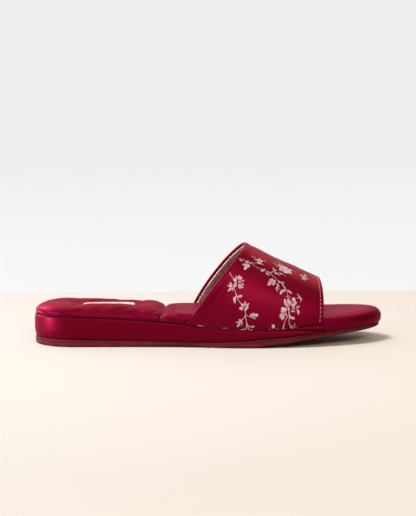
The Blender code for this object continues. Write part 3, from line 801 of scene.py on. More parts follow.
def makeFootbed():
    ring, spine = edgeRing(footbedStations, footbed["heelSteps"], footbed["toeSteps"])
    station, across = ring.T
    crease = footbed["crease"]
    pinch = hump(pastCrease(station, across), 0, crease["pinchWidth"])
    inset = read(paddingTable, "inset", station) + heelDraw(station) + crease["pinch"] * pinch
    rounding = read(paddingTable, "round", station)
    top = read(profileTable, "footbed", station)

    def floorAt(place):
        sole = read(profileTable, "outsole", place)
        return np.where(place > wedge["end"], sole, read(profileTable, "wedge", place)) + footbed["gap"]

    # how far a point of the side stands within the vamp, whose throat slants
    def within(level):
        front, soft = footbed["slotFront"], footbed["slotEase"]
        past = ease(-footbed["slotLead"], soft, station - throatStation(across, level))
        return past * (1 - ease(front, front + soft, station))

    # under the vamp the lower side makes a shelf, and above it a slot that takes the turned margin
    floor = floorAt(station)
    bulge = floor + read(paddingTable, "bulge", station) * (top - floor)
    margin = read(vampTable, "margin", station)
    slot = within(margin)
    shelf = np.maximum(margin - footbed["shelfDrop"], floor + footbed["shelfLeast"])
    bulge = bulge + slot * (np.maximum(bulge, margin + footbed["slotRoof"]) - bulge)
    slotTop = margin + footbed["slotTop"]
    slotLevels = (floor, floor + footbed["stepShare"] * (shelf - floor), shelf, shelf, slotTop, slotTop)
    rings = [atHeight(spine, floorAt(spine[:, 0]))]
    for (share, extra, slotInset), slotLevel in zip(footbed["side"], slotLevels):
        stands = inset + extra + slot * (slotInset - inset - extra)
        level = floor + share * (bulge - floor)
        rings.append(atHeight(insetRing(ring, stands), level + slot * (slotLevel - level)))
    power, room = footbed["roundPower"], footbed["vampRoom"]
    for share in np.linspace(0, 1, footbed["roundRings"]) ** 2:
        rise = (1 - (1 - share) ** power) ** (1 / power)
        inside = within(bulge + rise * (top - bulge))
        here = insetRing(ring, inset + inside * (room - inset) + share * rounding)
        rings.append(atHeight(here, bulge + rise * (padLevel(*here.T) - bulge)))
    crest = rings[-1][:, :2]
    for share in np.linspace(0, 1, footbed["topRings"])[1:]:
        here = crest + share * (spine - crest)
        rings.append(atHeight(here, padLevel(*here.T)))
    rings = np.array(rings)
    normals = roundNormals(rings)
    shaped = rings + normals * moveSum(rings, padMoves)[..., None]
    # short puckers that run out from the sewn crease on both its sides
    along, aside, height = np.moveaxis(rings, -1, 0)
    wave = gathersAt(aside, *footbed["puckers"])
    reach = hump(np.abs(pastCrease(along, aside)), footbed["puckerFrom"], footbed["puckerReach"])
    reach = reach * ease(*footbed["puckerAbove"], height)
    shaped += normals * (footbed["puckerDepth"] * wave * reach)[..., None]
    shaped[:2] = rings[:2]
    hidden = (slot > 0) & (np.arange(len(rings)) < footbed["hiddenRings"])[:, None]
    shaped[hidden] = rings[hidden]
    piece = ringPiece("footbed_pad", shaped)
    puff(piece)
    dress(piece, "footbed", "footbed_satin", satin("footbed"))


# vamp: one hollow band, its edges rolled in to a satin turning

vamp = {
    "wall": 1.8, "edgeClearance": 0.3, "marginDepth": 7.0, "foldRadius": 2.1,
    "throatBase": {"lateral": 108.0, "medial": 111.8}, "throatBow": {"lateral": 1.7, "medial": 3.6},
    "throatLow": 16.0, "throatApex": 151.3, "throatHigh": 70.6,
    "toeBase": 204.2, "toeTop": 205.6, "toeHigh": 45.0, "toeBow": 0.4,
    "ridgeShift": 3.0, "sidePower": 2.35, "crownPower": 2.0,
    "archSteps": 128, "marginSteps": 5, "foldSteps": 7, "rows": 60, "rowsEased": 0.45, "rollSteps": 6,
    "stationStep": 0.3, "turnStep": 0.012, "edgeTries": 40,
}
marginParts = np.concatenate(
    [np.linspace(-1, 0, vamp["marginSteps"])[:-1], np.linspace(0, 1, vamp["foldSteps"])[:-1]])
archTurns = np.linspace(0, math.pi, vamp["archSteps"] + 1)
archColumns = slice(len(marginParts), -len(marginParts))


# a place on the band by its station and its turn, from 0 at the lateral fold over the crown to pi at the medial one
def archPoint(station, turn):
    radius, shift = vamp["foldRadius"], vamp["ridgeShift"]
    lateral = halfWidth("lateral", station) - vamp["edgeClearance"] + shift
    medial = halfWidth("medial", station) - vamp["edgeClearance"] - shift
    foot = read(vampTable, "margin", station) + radius
    rise = read(vampTable, "ridge", station) - foot
    lean = np.cos(turn)
    reach = np.where(lean > 0, -lateral, medial) * np.abs(lean) ** (2 / vamp["sidePower"])
    level = foot + rise * np.clip(np.sin(turn), 0, 1) ** (2 / vamp["crownPower"])
    # below the arch's foot the cloth bends round the fold
    bend = np.clip(-np.sin(turn) * rise / radius, 0, math.pi / 2)
    reach = reach + np.sign(lean) * radius * (1 - np.cos(bend))
    return np.stack([station + 0 * turn, shift + reach, level - radius * np.sin(bend)], -1)


def archNormal(station, turn):
    step, swing = vamp["stationStep"], vamp["turnStep"]
    forward = archPoint(station + step, turn) - archPoint(station - step, turn)
    return unit(np.cross(forward, archPoint(station, turn + swing) - archPoint(station, turn - swing)))


# station of the throat and of the toe opening at a place of the band
def throatStation(across, level):
    lateral = across < vamp["ridgeShift"]
    base, bow = (np.where(lateral, row["lateral"], row["medial"]) for row in (vamp["throatBase"], vamp["throatBow"]))
    share = (level - vamp["throatLow"]) / (vamp["throatHigh"] - vamp["throatLow"])
    return base + (vamp["throatApex"] - base) * share - 4 * bow * share * (1 - share)


def toeStation(across, level):
    share = (level - vamp["throatLow"]) / (vamp["toeHigh"] - vamp["throatLow"])
    return vamp["toeBase"] + (vamp["toeTop"] - vamp["toeBase"]) * share + 4 * vamp["toeBow"] * share * (1 - share)


# one side's turned margin and fold, from its inner end out to the arch
def marginPoint(side, station, part):
    radius = vamp["foldRadius"]
    bend = np.clip(part, 0, 1) * math.pi / 2
    turnedIn = np.where(part < 0, radius - part * (vamp["marginDepth"] - radius), radius * (1 - np.sin(bend)))
    reach = halfWidth(side, station) - vamp["edgeClearance"] - turnedIn
    level = read(vampTable, "margin", station) + np.where(part < 0, 0, radius * (1 - np.cos(bend)))
    return np.stack([station + 0 * part, sideSign[side] * reach, level], -1)


# base surface of the whole band, one station for each column
def vampBase(station):
    sides = len(marginParts)
    lateral = marginPoint("lateral", station[..., :sides], marginParts)
    medial = marginPoint("medial", station[..., -sides:], marginParts[::-1])
    return np.concatenate([lateral, archPoint(station[..., archColumns], archTurns), medial], axis=-2)


# where every column meets an edge, and how far apart two stations lie square to that edge
def edgeOf(stationAt, start):
    station = np.full(len(archTurns) + 2 * len(marginParts), start)
    for _ in range(vamp["edgeTries"]):
        points = vampBase(station)
        station = stationAt(points[:, 1], points[:, 2])
    along = unit(np.gradient(vampBase(station), axis=0))
    forward = vampBase(station + 0.5) - vampBase(station - 0.5)
    square = forward - (forward * along).sum(-1, keepdims=True) * along
    return station, np.linalg.norm(square, axis=-1), unit(square)


# low relief of the cloth: the soft drag along the throat, then hems by their depth, place and width
vampMoves = (
    ("fold", -0.9, 5.0, (136.0, -34.6, 44.0), (119.5, -35.9, 24.0)),
    ("fold", 0.45, 3.6, (129.0, -35.0, 44.0), (113.5, -34.5, 24.0)),
    ("spot", -0.2, (194.0, -34.5, 29.0), (13.0, 8.0, 4.6)),
    ("spot", 0.5, (165.0, -36.0, 36.0), (22.0, 9.0, 9.0)),
    ("fold", -0.8, 5.0, (136.0, 38.0, 44.0), (121.0, 36.0, 24.0)),
    ("spot", -0.5, (190.0, 38.0, 30.0), (12.0, 8.0, 5.0)),
    ("fold", 0.4, 6.0, (176.0, 16.0, 56.0), (196.0, 30.0, 42.0)),
    ("spot", -0.4, (172.0, 6.0, 60.0), (12.0, 10.0, 6.0)),
)
vampHems = {
    "throat": ((0.30, 2.4, 1.7), (-0.22, 6.6, 2.0)), "toe": ((0.12, 1.2, 0.8), (-0.26, 2.7, 0.55)),
    "throatSlant": 0.76, "ripple": 0.13, "rippleLengths": (7.0, 12.0, 9.0, 15.0),
    "gathers": (2 * math.pi * 1.15, 0.9, 6.0), "gatherDepth": 0.12, "gatherLevel": 15.5, "gatherHeight": 4.0,
    "clearOfThroat": (0.5, 5.0), "clearOfToe": (0.5, 4.0),
}


def vampRelief(points):
    station, across, level = np.moveaxis(points, -1, 0)
    behind = vampHems["throatSlant"] * (station - throatStation(across, level))
    ahead = toeStation(across, level) - station
    relief = sum(depth * hump(behind, *place) for depth, *place in vampHems["throat"])
    relief = relief + sum(depth * hump(ahead, *place) for depth, *place in vampHems["toe"])
    # slow ripples, and gathers along the lower fold
    a, b, c, d = vampHems["rippleLengths"]
    relief += vampHems["ripple"] * np.sin(station / a + level / b) * np.sin(level / c - station / d)
    low = hump(level, vampHems["gatherLevel"], vampHems["gatherHeight"])
    relief += vampHems["gatherDepth"] * gathersAt(station, *vampHems["gathers"]) * low
    clear = ease(*vampHems["clearOfThroat"], behind) * ease(*vampHems["clearOfToe"], ahead)
    return relief + moveSum(points, vampMoves) * clear


throatEdge, throatStep, throatForward = edgeOf(throatStation, vamp["throatApex"])
toeEdge, toeStep, toeForward = edgeOf(toeStation, vamp["toeBase"])


def makeVamp():
    half, rows, rolls = vamp["wall"] / 2, vamp["rows"], vamp["rollSteps"]
    share = np.linspace(0, 1, rows)
    eased = vamp["rowsEased"]   # rows stand closer near both edges
    share = ((1 - eased) * share + eased * (1 - np.cos(math.pi * share)) / 2)[:, None]
    station = throatEdge + half / throatStep
    station = station + share * (toeEdge - half / toeStep - station)
    base = vampBase(station)
    normal = unit(np.cross(np.gradient(base, axis=0), np.gradient(base, axis=1)))
    outer = base + normal * vampRelief(base)[..., None]
    inner = base - normal * vamp["wall"]
    middle = (outer + inner) / 2

    def roll(row, outward):
        arm = (outer[row] - inner[row]) / 2
        size = np.linalg.norm(arm, axis=-1, keepdims=True)
        turns = np.linspace(0, math.pi, rolls + 2)[1:-1]
        return [middle[row] + arm * math.cos(turn) + outward * size * math.sin(turn) for turn in turns]

    tube = np.concatenate([outer, roll(-1, toeForward), inner[::-1], roll(0, -throatForward)[::-1], outer[:1]])
    # the margin's two ends close on the middle of the wall
    ends = np.concatenate([middle, np.repeat(middle[-1:], rolls, 0), middle[::-1],
                           np.repeat(middle[:1], rolls + 1, 0)])
    tube = np.concatenate([ends[:, :1], tube, ends[:, -1:]], axis=1)
    kinds = np.zeros(len(tube) - 1, int)
    kinds[rows + rolls // 2:-(rolls // 2)] = 1   # the turned inside
    piece = gridPiece("vamp_brocade", tube, np.stack([runLength(tube), runLength(tube, 1)], -1), True, kinds)
    dress(piece, "vamp", "vamp_brocade", satin("vamp"), satin("turnedEdge"))


# any place on the band by its station and its girth up from the lateral fold

girthStations = np.arange(98.0, 215.0)
girthTurns = np.linspace(0, math.pi, 241)
girthRows = runLength(archPoint(girthStations[:, None], girthTurns)[..., 1:], 1)


def turnAt(station, girth):
    found = []
    for s, g in zip(station, girth):
        i = min(max(int(s - girthStations[0]), 0), len(girthStations) - 2)
        share = s - girthStations[i]
        row = girthRows[i] * (1 - share) + girthRows[i + 1] * share
        found.append(np.interp(g, row, girthTurns) + min(0.0, g) * girthTurns[1] / row[1])
    return np.array(found)


def onVamp(station, turn, lift):
    base = archPoint(station, turn)
    return base + archNormal(station, turn) * (vampRelief(base) + lift)[..., None]


def inVamp(station, turn, depth):
    return archPoint(station, turn) - archNormal(station, turn) * np.asarray(vamp["wall"] + depth)[..., None]


# stations that lie in from the throat or from the toe opening by a distance square to the edge
def fromThroat(turn, distance):
    edge, step = (np.interp(turn, archTurns, row[archColumns]) for row in (throatEdge, throatStep))
    return edge + distance / step


def fromToe(turn, distance):
    edge, step = (np.interp(turn, archTurns, row[archColumns]) for row in (toeEdge, toeStep))
    return edge - distance / step


strand = {"aside": (0.31, 0.17, 0.93), "endShare": 0.35}


# joined tubes along many short paths, each a table of points in millimetres
def threadPiece(name, paths, radius, sides=6):
    points, faces, uvs = [], [], []
    ring = np.arange(sides)
    angle = 2 * math.pi * ring / sides
    start = 0
    for path in paths:
        along = unit(np.gradient(path, axis=0))
        first = unit(np.cross(along, strand["aside"]))
        second = np.cross(along, first)
        size = np.full(len(path), radius)
        size[[0, -1]] = radius * strand["endShare"]
        turn = np.cos(angle)[:, None] * first[:, None] + np.sin(angle)[:, None] * second[:, None]
        points.append((path[:, None] + turn * size[:, None, None]).reshape(-1, 3))
        uvs.append(np.stack(np.broadcast_arrays(runLength(path)[:, None], angle * radius), -1).reshape(-1, 2))
        rows = start + sides * np.arange(len(path))
        for low, high in zip(rows, rows[1:]):
            faces += [(low + j, low + k, high + k, high + j) for j, k in zip(ring, np.roll(ring, -1))]
        faces += [tuple(start + ring[::-1]), tuple(rows[-1] + ring)]
        start += sides * len(path)
    return meshPiece(name, points, faces, uvs)


def meshPiece(name, points, faces, uvs):
    mesh = bpy.data.meshes.new(name)
    mesh.from_pydata(toFrame(np.concatenate(points)).tolist(), [], faces)
    uv = np.concatenate(uvs)[cornersOf(mesh)] / 1000
    mesh.uv_layers.new(name="UVMap").data.foreach_set("uv", uv.ravel())
    piece = bpy.data.objects.new(name, mesh)
    bpy.context.scene.collection.objects.link(piece)
    deselect()
    bpy.context.view_layer.objects.active = piece
    piece.select_set(True)
    finishMesh(False, True)
    return piece


# lining: pale cloth inside the band, its throat edge overcast with thread

lining = {
    "columns": 381, "rows": 34, "depth": 0.18, "thick": 0.22, "throatGap": 2.3, "toeGap": 3.0,
    "rub": 0.10, "rubLengths": (4.3, 9), "rubTurns": (9, 17),
    "toothPitch": 1.7, "toothDepth": 0.5, "cloth": ((0.40, 0.225, 0.215, 1), (0.19, 0.075, 0.07, 1), 3900.0, 0.0002),
    "overcastPitch": 1.75, "overcastFrom": 3, "overcastLead": 0.15, "overcastReach": 3.1, "overcastLift": 0.22,
    "overcastPoints": 12, "threadRadius": 0.20, "dull": ((0.50, 0.31, 0.30, 1), (0.28, 0.13, 0.13, 1)),
    "edgeLead": 0.1, "edgeWave": 0.16, "edgeLift": 0.3, "edgePoints": 8, "edgeRadius": 0.40,
    "pale": ((0.88, 0.72, 0.71, 1), (0.48, 0.28, 0.27, 1)),
}


def makeLining():
    depth, gap = lining["depth"], lining["throatGap"]
    turn = np.linspace(0.0, math.pi, lining["columns"])
    girth = runLength(archPoint(fromThroat(turn, 0.0), turn))
    teeth = np.abs((girth / lining["toothPitch"]) % 1 - 0.5) * 2
    back = fromThroat(turn, gap + lining["toothDepth"] * teeth)
    front = fromToe(turn, lining["toeGap"])
    station = back + np.linspace(0, 1, lining["rows"])[:, None] * (front - back)
    (a, b), (c, d) = lining["rubLengths"], lining["rubTurns"]
    rub = lining["rub"] * np.sin(station / a + turn * c) * np.sin(turn * d - station / b)
    points = inVamp(station, turn, depth + np.abs(rub))
    piece = gridPiece("vamp_lining", points, np.stack(np.broadcast_arrays(station, girth), -1), False)
    wall = piece.modifiers.new("thickness", "SOLIDIFY")
    wall.thickness = lining["thick"] / 1000
    wall.offset = 1
    bpy.ops.object.modifier_apply(modifier="thickness")
    dress(piece, None, "vamp_brocade", woven("liningCloth", *lining["cloth"]))
    # overcast stitches over the raw edge, and the looped thread along it
    count = int(girth[-1] / lining["overcastPitch"])
    corners = np.arange(2 * count + 1)
    inner = lining["overcastFrom"]
    steps = np.interp(np.linspace(inner, girth[-1] - inner, len(corners)), girth, turn)
    near = fromThroat(steps, gap - lining["overcastLead"])
    zigzag = np.where(corners % 2 == 0, near, fromThroat(steps, gap + lining["overcastReach"]))
    fine = np.linspace(0, 2 * count, lining["overcastPoints"] * count + 1)
    over = inVamp(np.interp(fine, corners, zigzag), np.interp(fine, corners, steps),
                  depth + lining["thick"] + lining["overcastLift"])
    edgeTurn = np.linspace(steps[0], steps[-1], lining["edgePoints"] * count)
    wave = lining["edgeWave"] * np.sin(2 * math.pi * np.linspace(0, count, len(edgeTurn)))
    edge = inVamp(fromThroat(edgeTurn, gap - lining["edgeLead"] + wave), edgeTurn, depth + lining["edgeLift"])
    overcast = threadPiece("lining_overcast", [over], lining["threadRadius"], 5)
    chain = threadPiece("lining_edge_thread", [edge], lining["edgeRadius"])
    dress(overcast, None, "vamp_brocade", thread("dullThread", *lining["dull"]))
    dress(chain, None, "vamp_brocade", thread("paleThread", *lining["pale"]))


# topstitching behind the toe opening

topstitch = {
    "behind": 2.7, "start": 0.4, "pitch": 3.0, "length": 1.9, "radius": 0.23, "lift": 0.16, "dip": 0.10,
    "columns": 600, "points": 7, "thread": ((0.64, 0.30, 0.31, 1), (0.40, 0.10, 0.11, 1), 4200.0, 0.1),
}


def makeTopstitch():
    turn = np.linspace(0.0, math.pi, topstitch["columns"])
    girth = runLength(archPoint(fromToe(turn, topstitch["behind"]), turn))
    share = np.linspace(0, 1, topstitch["points"])
    bow = np.sin(math.pi * share)
    lift = topstitch["lift"] * bow**0.5 - topstitch["dip"] * (1 - bow)
    paths = []
    for start in np.arange(topstitch["start"], girth[-1] - topstitch["length"], topstitch["pitch"]):
        here = np.interp(start + share * topstitch["length"], girth, turn)
        paths.append(onVamp(fromToe(here, topstitch["behind"]), here, lift))
    piece = threadPiece("toe_topstitch", paths, topstitch["radius"], 8)
    dress(piece, None, "vamp_brocade", thread("roseThread", *topstitch["thread"]))


# plum-blossom sprigs woven in the brocade: kind, width, then the stroke's places as station,girth

sprigChart = {
    "rearSpray": """
    stem 0.8 138.9,38.2 139.9,36.3 141,34.8; petal 2.4 143.3,32.2 141.4,34.6; petal 2.2 143.2,31.8 141.8,27.9;
    petal 1.3 144,33.8 143.1,36.6; petal 1.8 145.3,33.6 145.5,37.1; petal 1.6 146.2,33.2 147.1,36;
    petal 1.1 146.6,32.3 149.1,33.5; petal 1.1 146.6,31.1 148.6,30.1; petal 1.9 145.1,30.6 146,27;
    petal 1.6 146.1,30.4 147.9,27.6; petal 1.8 144.6,32.2 146.5,32.2; leaf 1.5 140.7,29 138.7,31.6;
    leaf 1.8 140.4,28.6 137.2,29; leaf 1.5 140.3,28.2 137.2,24.5; leaf 1.2 140.7,28 140.4,25.4;
    stem 0.8 140.9,28.4 142,26.1 142.8,24.1 143.5,22.1; leaf 2.2 143.9,21.1 147.4,22.4;
    leaf 2.0 143.7,21.7 141.9,20.5 142.3,16.3; stem 0.8 143.6,21.8 144.1,20.1 144.8,18.7 146.2,17.1 147.4,15.9;
    petal 1.6 148.3,14.7 146.6,16.8; petal 1.6 148.8,15.1 149.4,18.5; petal 1.5 149.6,14.8 152,17.2;
    petal 2.1 149.4,14 151.7,14.3; petal 1.9 148.1,14.2 145,13.1; petal 1.3 147.9,13.8 146.4,12;
    petal 1.5 149.2,13.8 150.3,12.2; stem 0.8 148.9,14 149.2,11.7 149.4,9.1 149.5,7.9 149.9,5.1 150.5,2;
    stem 0.7 149.5,9.8 150.8,8.5 152.8,7.6 154.2,7.4; leaf 1.4 152.9,7.4 153.6,10.2; leaf 1.4 154.3,7.5 154.6,10.7;
    leaf 1.5 154.9,7.7 155.8,10.4; petal 2.4 155.5,8.5 158.2,9.1; leaf 1.2 154.1,7.4 156.6,6.2;
    stem 0.7 149.4,8.5 148.2,7 146.9,5.1; leaf 1.8 146.9,3.9 144.9,6; leaf 1.3 145.9,3.8 142.7,3.6;
    leaf 1.5 145.6,3.5 143.6,0.1; leaf 1.4 146.9,4.6 146.7,1.5; stem 0.7 150.8,1.9 151.9,1.3 153.1,0.7;
    leaf 1.7 152.8,0.6 155.9,1; stem 0.8 150.4,2.3 149.9,-0.3 149.4,-1.9; stem 0.8 150.7,2.3 151.3,-0.2 151.9,-1.9;
    leaf 1.1 149.5,-1.9 145.6,-1.9; leaf 1.2 149.2,-1.9 147.3,-1.5; leaf 0.9 152.2,-1.9 154.8,-1.9;
    petal 1.9 135.3,-1.9 135.4,-1.8; leaf 1.0 135.3,-1.9 133.5,-1.9; leaf 1.0 135.5,-1.9 136.9,-1.9""",
    "topSpray": """
    leaf 1.2 148.1,48 145.9,50.1; leaf 0.9 149.7,49.2 147.9,50.6; petal 1.7 152.3,47.2 149.8,48.9;
    petal 1.7 151.7,46.6 147.9,45.1; petal 2.3 151.4,46 149.3,41.2; petal 2.1 152.1,46.1 152.5,43.4;
    petal 1.3 152.2,47.5 151.9,49.7; leaf 1.4 152.5,46.7 155.4,48.2;
    stem 0.6 154.9,47 157.1,44.8 159.2,43.4 161.4,42.5; stem 0.5 155.6,47.6 157.8,47.9;
    petal 2.5 160.1,50.1 160.7,53.5; petal 2.4 160.3,50.1 162.8,51.4; petal 2.1 160.2,49.7 161,47.2;
    petal 1.9 160,49.7 158.6,47.6; petal 1.6 159.8,50.4 156.8,51.7; leaf 1.0 163,51.4 165.1,51.3;
    leaf 1.1 161.5,48.3 163.1,46.8; stem 0.7 154.9,54.8 155.9,53.5 156.7,52.3 157.4,51.4;
    stem 0.6 156.4,52.7 157.7,54.4; leaf 1.7 164.2,43.2 160.7,40.6; leaf 1.7 164.1,40.2 167.1,37.9;
    leaf 1.2 164.7,41.5 167.1,40.4; stem 0.6 161.1,42.6 164.1,41.5 167.6,40.5 169.9,41.8;
    stem 0.7 167.3,40.4 168.8,38.3 170.9,36.1 172.5,33.9 174,32.3 175.6,31.1 176.9,28.8 177.9,26.5;
    leaf 1.3 170.4,42 170.1,46.1; leaf 1.5 170.2,41.9 172.2,43.8; leaf 1.5 170.6,41.8 172,39;
    leaf 1.4 171.8,41.4 174.4,38.2; leaf 1.6 173.8,40.9 177,39.6; stem 0.5 177,39.7 178.6,38;
    petal 3.3 176.2,44.6 180.2,41.3; petal 3.4 179,43.6 183.6,41.8; petal 3.0 179.6,45.1 184,46.5;
    petal 3.0 177.4,44.4 182,44.2; petal 3.0 175.4,45.7 178.7,50.3; petal 2.2 175.8,46.8 174.8,51.7;
    petal 2.0 175.2,42.7 175.4,47.4; petal 2.8 177.8,45.7 180.9,49.6; stem 1.1 171,52.6 172.6,49.5 174.4,48.2;
    stem 1.2 174.2,55.4 176.2,52.6 178.4,50.4; stem 0.6 184,45.8 186.3,43.8; petal 1.5 168.6,32.8 166.7,35.1;
    petal 1.7 168.8,33 168.6,35.6; petal 2.1 169,32.8 171.1,33.8; petal 1.9 169,32.3 171,31.2;
    petal 1.4 168.7,31.9 169.6,29.6; petal 2.2 168.1,32 165.2,30.1; petal 1.2 168,32.6 165.5,32.9;
    leaf 1.1 172.7,33.9 175,31.9; leaf 1.2 174.7,32.6 177.6,31.7; leaf 1.1 172.8,33.1 173.8,31.5;
    leaf 1.4 171.5,31.4 173.5,28.9; leaf 1.6 172.9,29.6 171,26.5; leaf 0.9 172.2,28.4 173.6,26.7;
    leaf 0.9 171.5,27 172.2,24.9""",
    "frontSpray": """
    stem 0.7 175.5,31 176.5,28.8 178,26.2; leaf 2.4 178.1,26.1 175.1,25.1 173.8,22.6;
    leaf 1.9 178.2,25.9 180.3,24.8 182.3,22.6; stem 0.7 178.7,25.2 179.1,21.9 179.4,20.3;
    leaf 0.7 179.3,22.2 181.3,19.7; leaf 0.7 179,20.7 177.8,21.6; petal 2.3 179.7,13 177.8,15.9 176.9,19.5;
    petal 2.3 180.4,14.5 179.9,17 179.3,20; petal 1.5 181.2,14.6 181.4,17.6; petal 3.0 183.7,16.4 183.1,20;
    petal 2.8 183.4,15.9 185.5,15.5; petal 2.0 183.4,15.7 182.9,13.1; petal 1.0 182.1,16.5 181.6,14.1;
    leaf 0.8 187.3,19.9 185.7,22.6; leaf 1.2 185.7,18.6 188.4,20.3; leaf 1.4 187.6,19.4 189.3,16.8;
    leaf 0.9 188.5,17.2 187.9,15.3; leaf 1.5 184.8,12.1 187.6,13; leaf 1.3 181.6,13.2 184.3,13.6;
    leaf 1.1 181.7,12 184.7,12; leaf 1.9 185.4,11.4 186.4,9.2 186.7,6.7; leaf 1.4 181.7,11.4 184.2,9.4;
    leaf 1.3 180.8,10 183,10.7; petal 2.8 178.6,11.8 174.1,13; petal 2.1 178,10.5 173.9,10.9;
    petal 1.2 176.7,9.2 172.9,8.8; petal 2.2 176.7,8.3 173.2,6.8; petal 1.8 176.4,7.6 174.6,4.8;
    petal 1.9 177.9,9.5 177.4,7.7; stem 1.4 179.7,13 179.7,10.3 180,8.3 180.4,6.1;
    stem 0.9 179,7.5 177.6,5.3 176.5,2.7 175.4,-1.5; stem 0.9 180.2,6.6 179.7,3.8 181,-1;
    petal 2.2 180.5,6.4 183.9,4.7; leaf 0.9 174.7,-1.9 178.2,-1.9; stem 0.8 175.4,-1.4 174.8,-1.9;
    leaf 0.9 180.4,-1.9 184.1,-1.9; leaf 0.8 181.7,-1.2 181.7,0.9; leaf 0.7 182.9,-1.9 184.2,1.4;
    leaf 0.9 183.1,-1.9 185.9,-1.8; leaf 0.8 182.6,-1.9 180.7,-0.2; petal 2.5 168.9,-1.9 168.6,1;
    leaf 0.9 167.3,-1.9 165.6,-1.9; leaf 0.9 170.4,-1.9 172.9,-1.9""",
    "ridgeBlossom": """
    petal 2.2 192.1,38.3 189.7,41.6; petal 2.2 192.4,39 194.1,43.5; petal 2.0 192.5,37.8 192.1,34.4;
    petal 2.0 192.7,38.1 195.6,36.8; petal 2.0 192,38 190.6,35.6; leaf 0.8 197.8,44.3 200.6,41.1""",
    "hemBits": """
    petal 1.6 117.9,-1.9 117.9,-1.8; leaf 1.1 118.1,-1.9 120.2,-1.9; leaf 1.0 117.7,-1.9 116.3,-1.9""",
    "crownSpray": """
    stem 0.8 156.5,85.2 162,80 168.5,75 175,74 181.5,72.5 187,67; stem 0.7 162,80 164.2,82 165,83.8;
    stem 0.7 175,74 177.2,70.2 178,67.8; petal 2.1 166.7,85.8 169.2,85.8; petal 2.1 166.2,86.3 166.1,89;
    petal 2.1 165.7,86.1 163.1,87.7; petal 2.1 165.9,85.4 164.4,83.7; petal 2.1 166.5,85.3 168.2,82.5;
    petal 2.1 179.2,64.9 180.7,66.3; petal 2.1 178.6,65.1 177,68.1; petal 2.1 178.4,64.7 175.9,65.1;
    petal 2.1 178.9,64.1 179,61.4; petal 2.1 179.4,64.2 182,62.1; petal 1.9 155.3,88.2 155.7,90.3;
    petal 1.9 154.8,88.1 152.7,89.9; petal 1.9 154.8,87.5 153.2,86.5; petal 1.9 155.4,87.2 156.4,84.8;
    petal 1.9 155.7,87.6 158,87.1; leaf 1.2 168.5,75 169.9,71.4; leaf 1.2 170.5,74.6 172.2,76.7;
    leaf 1.2 181.5,72.5 182.1,75.5; leaf 1.2 183.5,70.9 185.9,67.3; leaf 1.2 159.5,82.2 160.4,78.7;
    leaf 1.1 187,67 189.5,67; leaf 1.1 187,67 188.8,64""",
}

sprig = {
    "lift": 0.10, "dome": 0.10, "stepLength": 0.55, "leastPoints": 9, "foldReach": 1.9,
    "slim": {"petal": 0.88, "leaf": 0.88, "stem": 0.66}, "columns": (-1.0, -0.5, 0.0, 0.5, 1.0),
    "taper": {"petal": (0.10, 0.90, 1.35), "leaf": (0.03, 0.95, 0.85), "stem": (0.80, 0.20, 2.2)},
    "stationStep": 0.3, "turnStep": 0.01, "veinless": {"petal": 0.0, "leaf": 0.0, "stem": 5.0},
    "thread": ((0.545, 0.445, 0.475, 1), (0.22, 0.07, 0.095, 1), 6500.0, 0.2, 0.8),
}


def strokeWidth(kind, share):
    start, run, power = sprig["taper"][kind]
    if kind == "stem":
        return start + run * np.cos(power * math.pi * share)
    share = np.clip(start + run * share, 0, 1)
    if kind == "petal":   # narrow foot, round tip
        return np.sqrt(np.clip(np.sin(math.pi * share**power), 0, 1))
    return np.sin(math.pi * share) ** power   # a leaf, pointed at both ends


# middle line of a stroke, eased through its places
def strokePath(places, width):
    length = runLength(places)
    count = max(sprig["leastPoints"], int(length[-1] / sprig["stepLength"]) + 1)
    share = (1 - np.cos(math.pi * np.linspace(0, 1, count))) / 2
    path = np.column_stack([smooth(share * length[-1], length, places[:, i]) for i in range(2)])
    path[:, 1] += max(0.0, width / 2 - sprig["foldReach"] - path[:, 1].min())   # kept on the fold's outer half
    return path, share


# every stroke of the chart, with the sides that it is woven on: the crown's spray lies once across the middle
def sprigStrokes():
    for name, spray in sprigChart.items():
        sides = (False,) if name == "crownSpray" else (False, True)
        for kind, width, *places in map(str.split, spray.split(";")):
            yield kind, float(width), np.array([place.split(",") for place in places], float), sides


# a step of one millimetre to the side of a stroke, in stations and turns so that it stays on the cloth
def sideStep(station, turn, line):
    side = np.cross(archNormal(station, turn), unit(np.gradient(line, axis=0)))
    step, swing = sprig["stationStep"], sprig["turnStep"]
    perStation = (archPoint(station + step, turn) - archPoint(station - step, turn)) / (2 * step)
    perTurn = (archPoint(station, turn + swing) - archPoint(station, turn - swing)) / (2 * swing)
    a, b, c = (perStation**2).sum(1), (perStation * perTurn).sum(1), (perTurn**2).sum(1)
    p, q = (side * perStation).sum(1), (side * perTurn).sum(1)
    det = a * c - b * b
    return (p * c - q * b) / det, (q * a - p * b) / det


def makeSprigs():
    points, faces, uvs = [], [], []
    for kind, width, places, sides in sprigStrokes():
        path, share = strokePath(places, width)
        half = 0.5 * sprig["slim"][kind] * width * strokeWidth(kind, share)
        station, lateral = path[:, 0], turnAt(*path.T)
        for mirrored in sides:
            turn = math.pi - lateral if mirrored else lateral
            line = archPoint(station, turn)
            perStation, perTurn = sideStep(station, turn, line)
            first, count = len(points), len(path)
            for column in sprig["columns"]:
                lift = sprig["lift"] + sprig["dome"] * (1 - column**2)
                points.append(onVamp(station + perStation * half * column, turn + perTurn * half * column, lift))
                uvs.append(np.column_stack([runLength(line), half * column + sprig["veinless"][kind]]))
            start = sum(len(row) for row in points[:first])
            for low in range(start, start + count * (len(sprig["columns"]) - 1), count):
                faces += [(i, i + 1, i + 1 + count, i + count) for i in range(low, low + count - 1)]
    piece = meshPiece("brocade_sprigs", points, faces, uvs)
    dress(piece, None, "vamp_brocade", thread("silverThread", *sprig["thread"]))


# blank woven patch in the heel's hollow: its rings by their share of the outline and their level

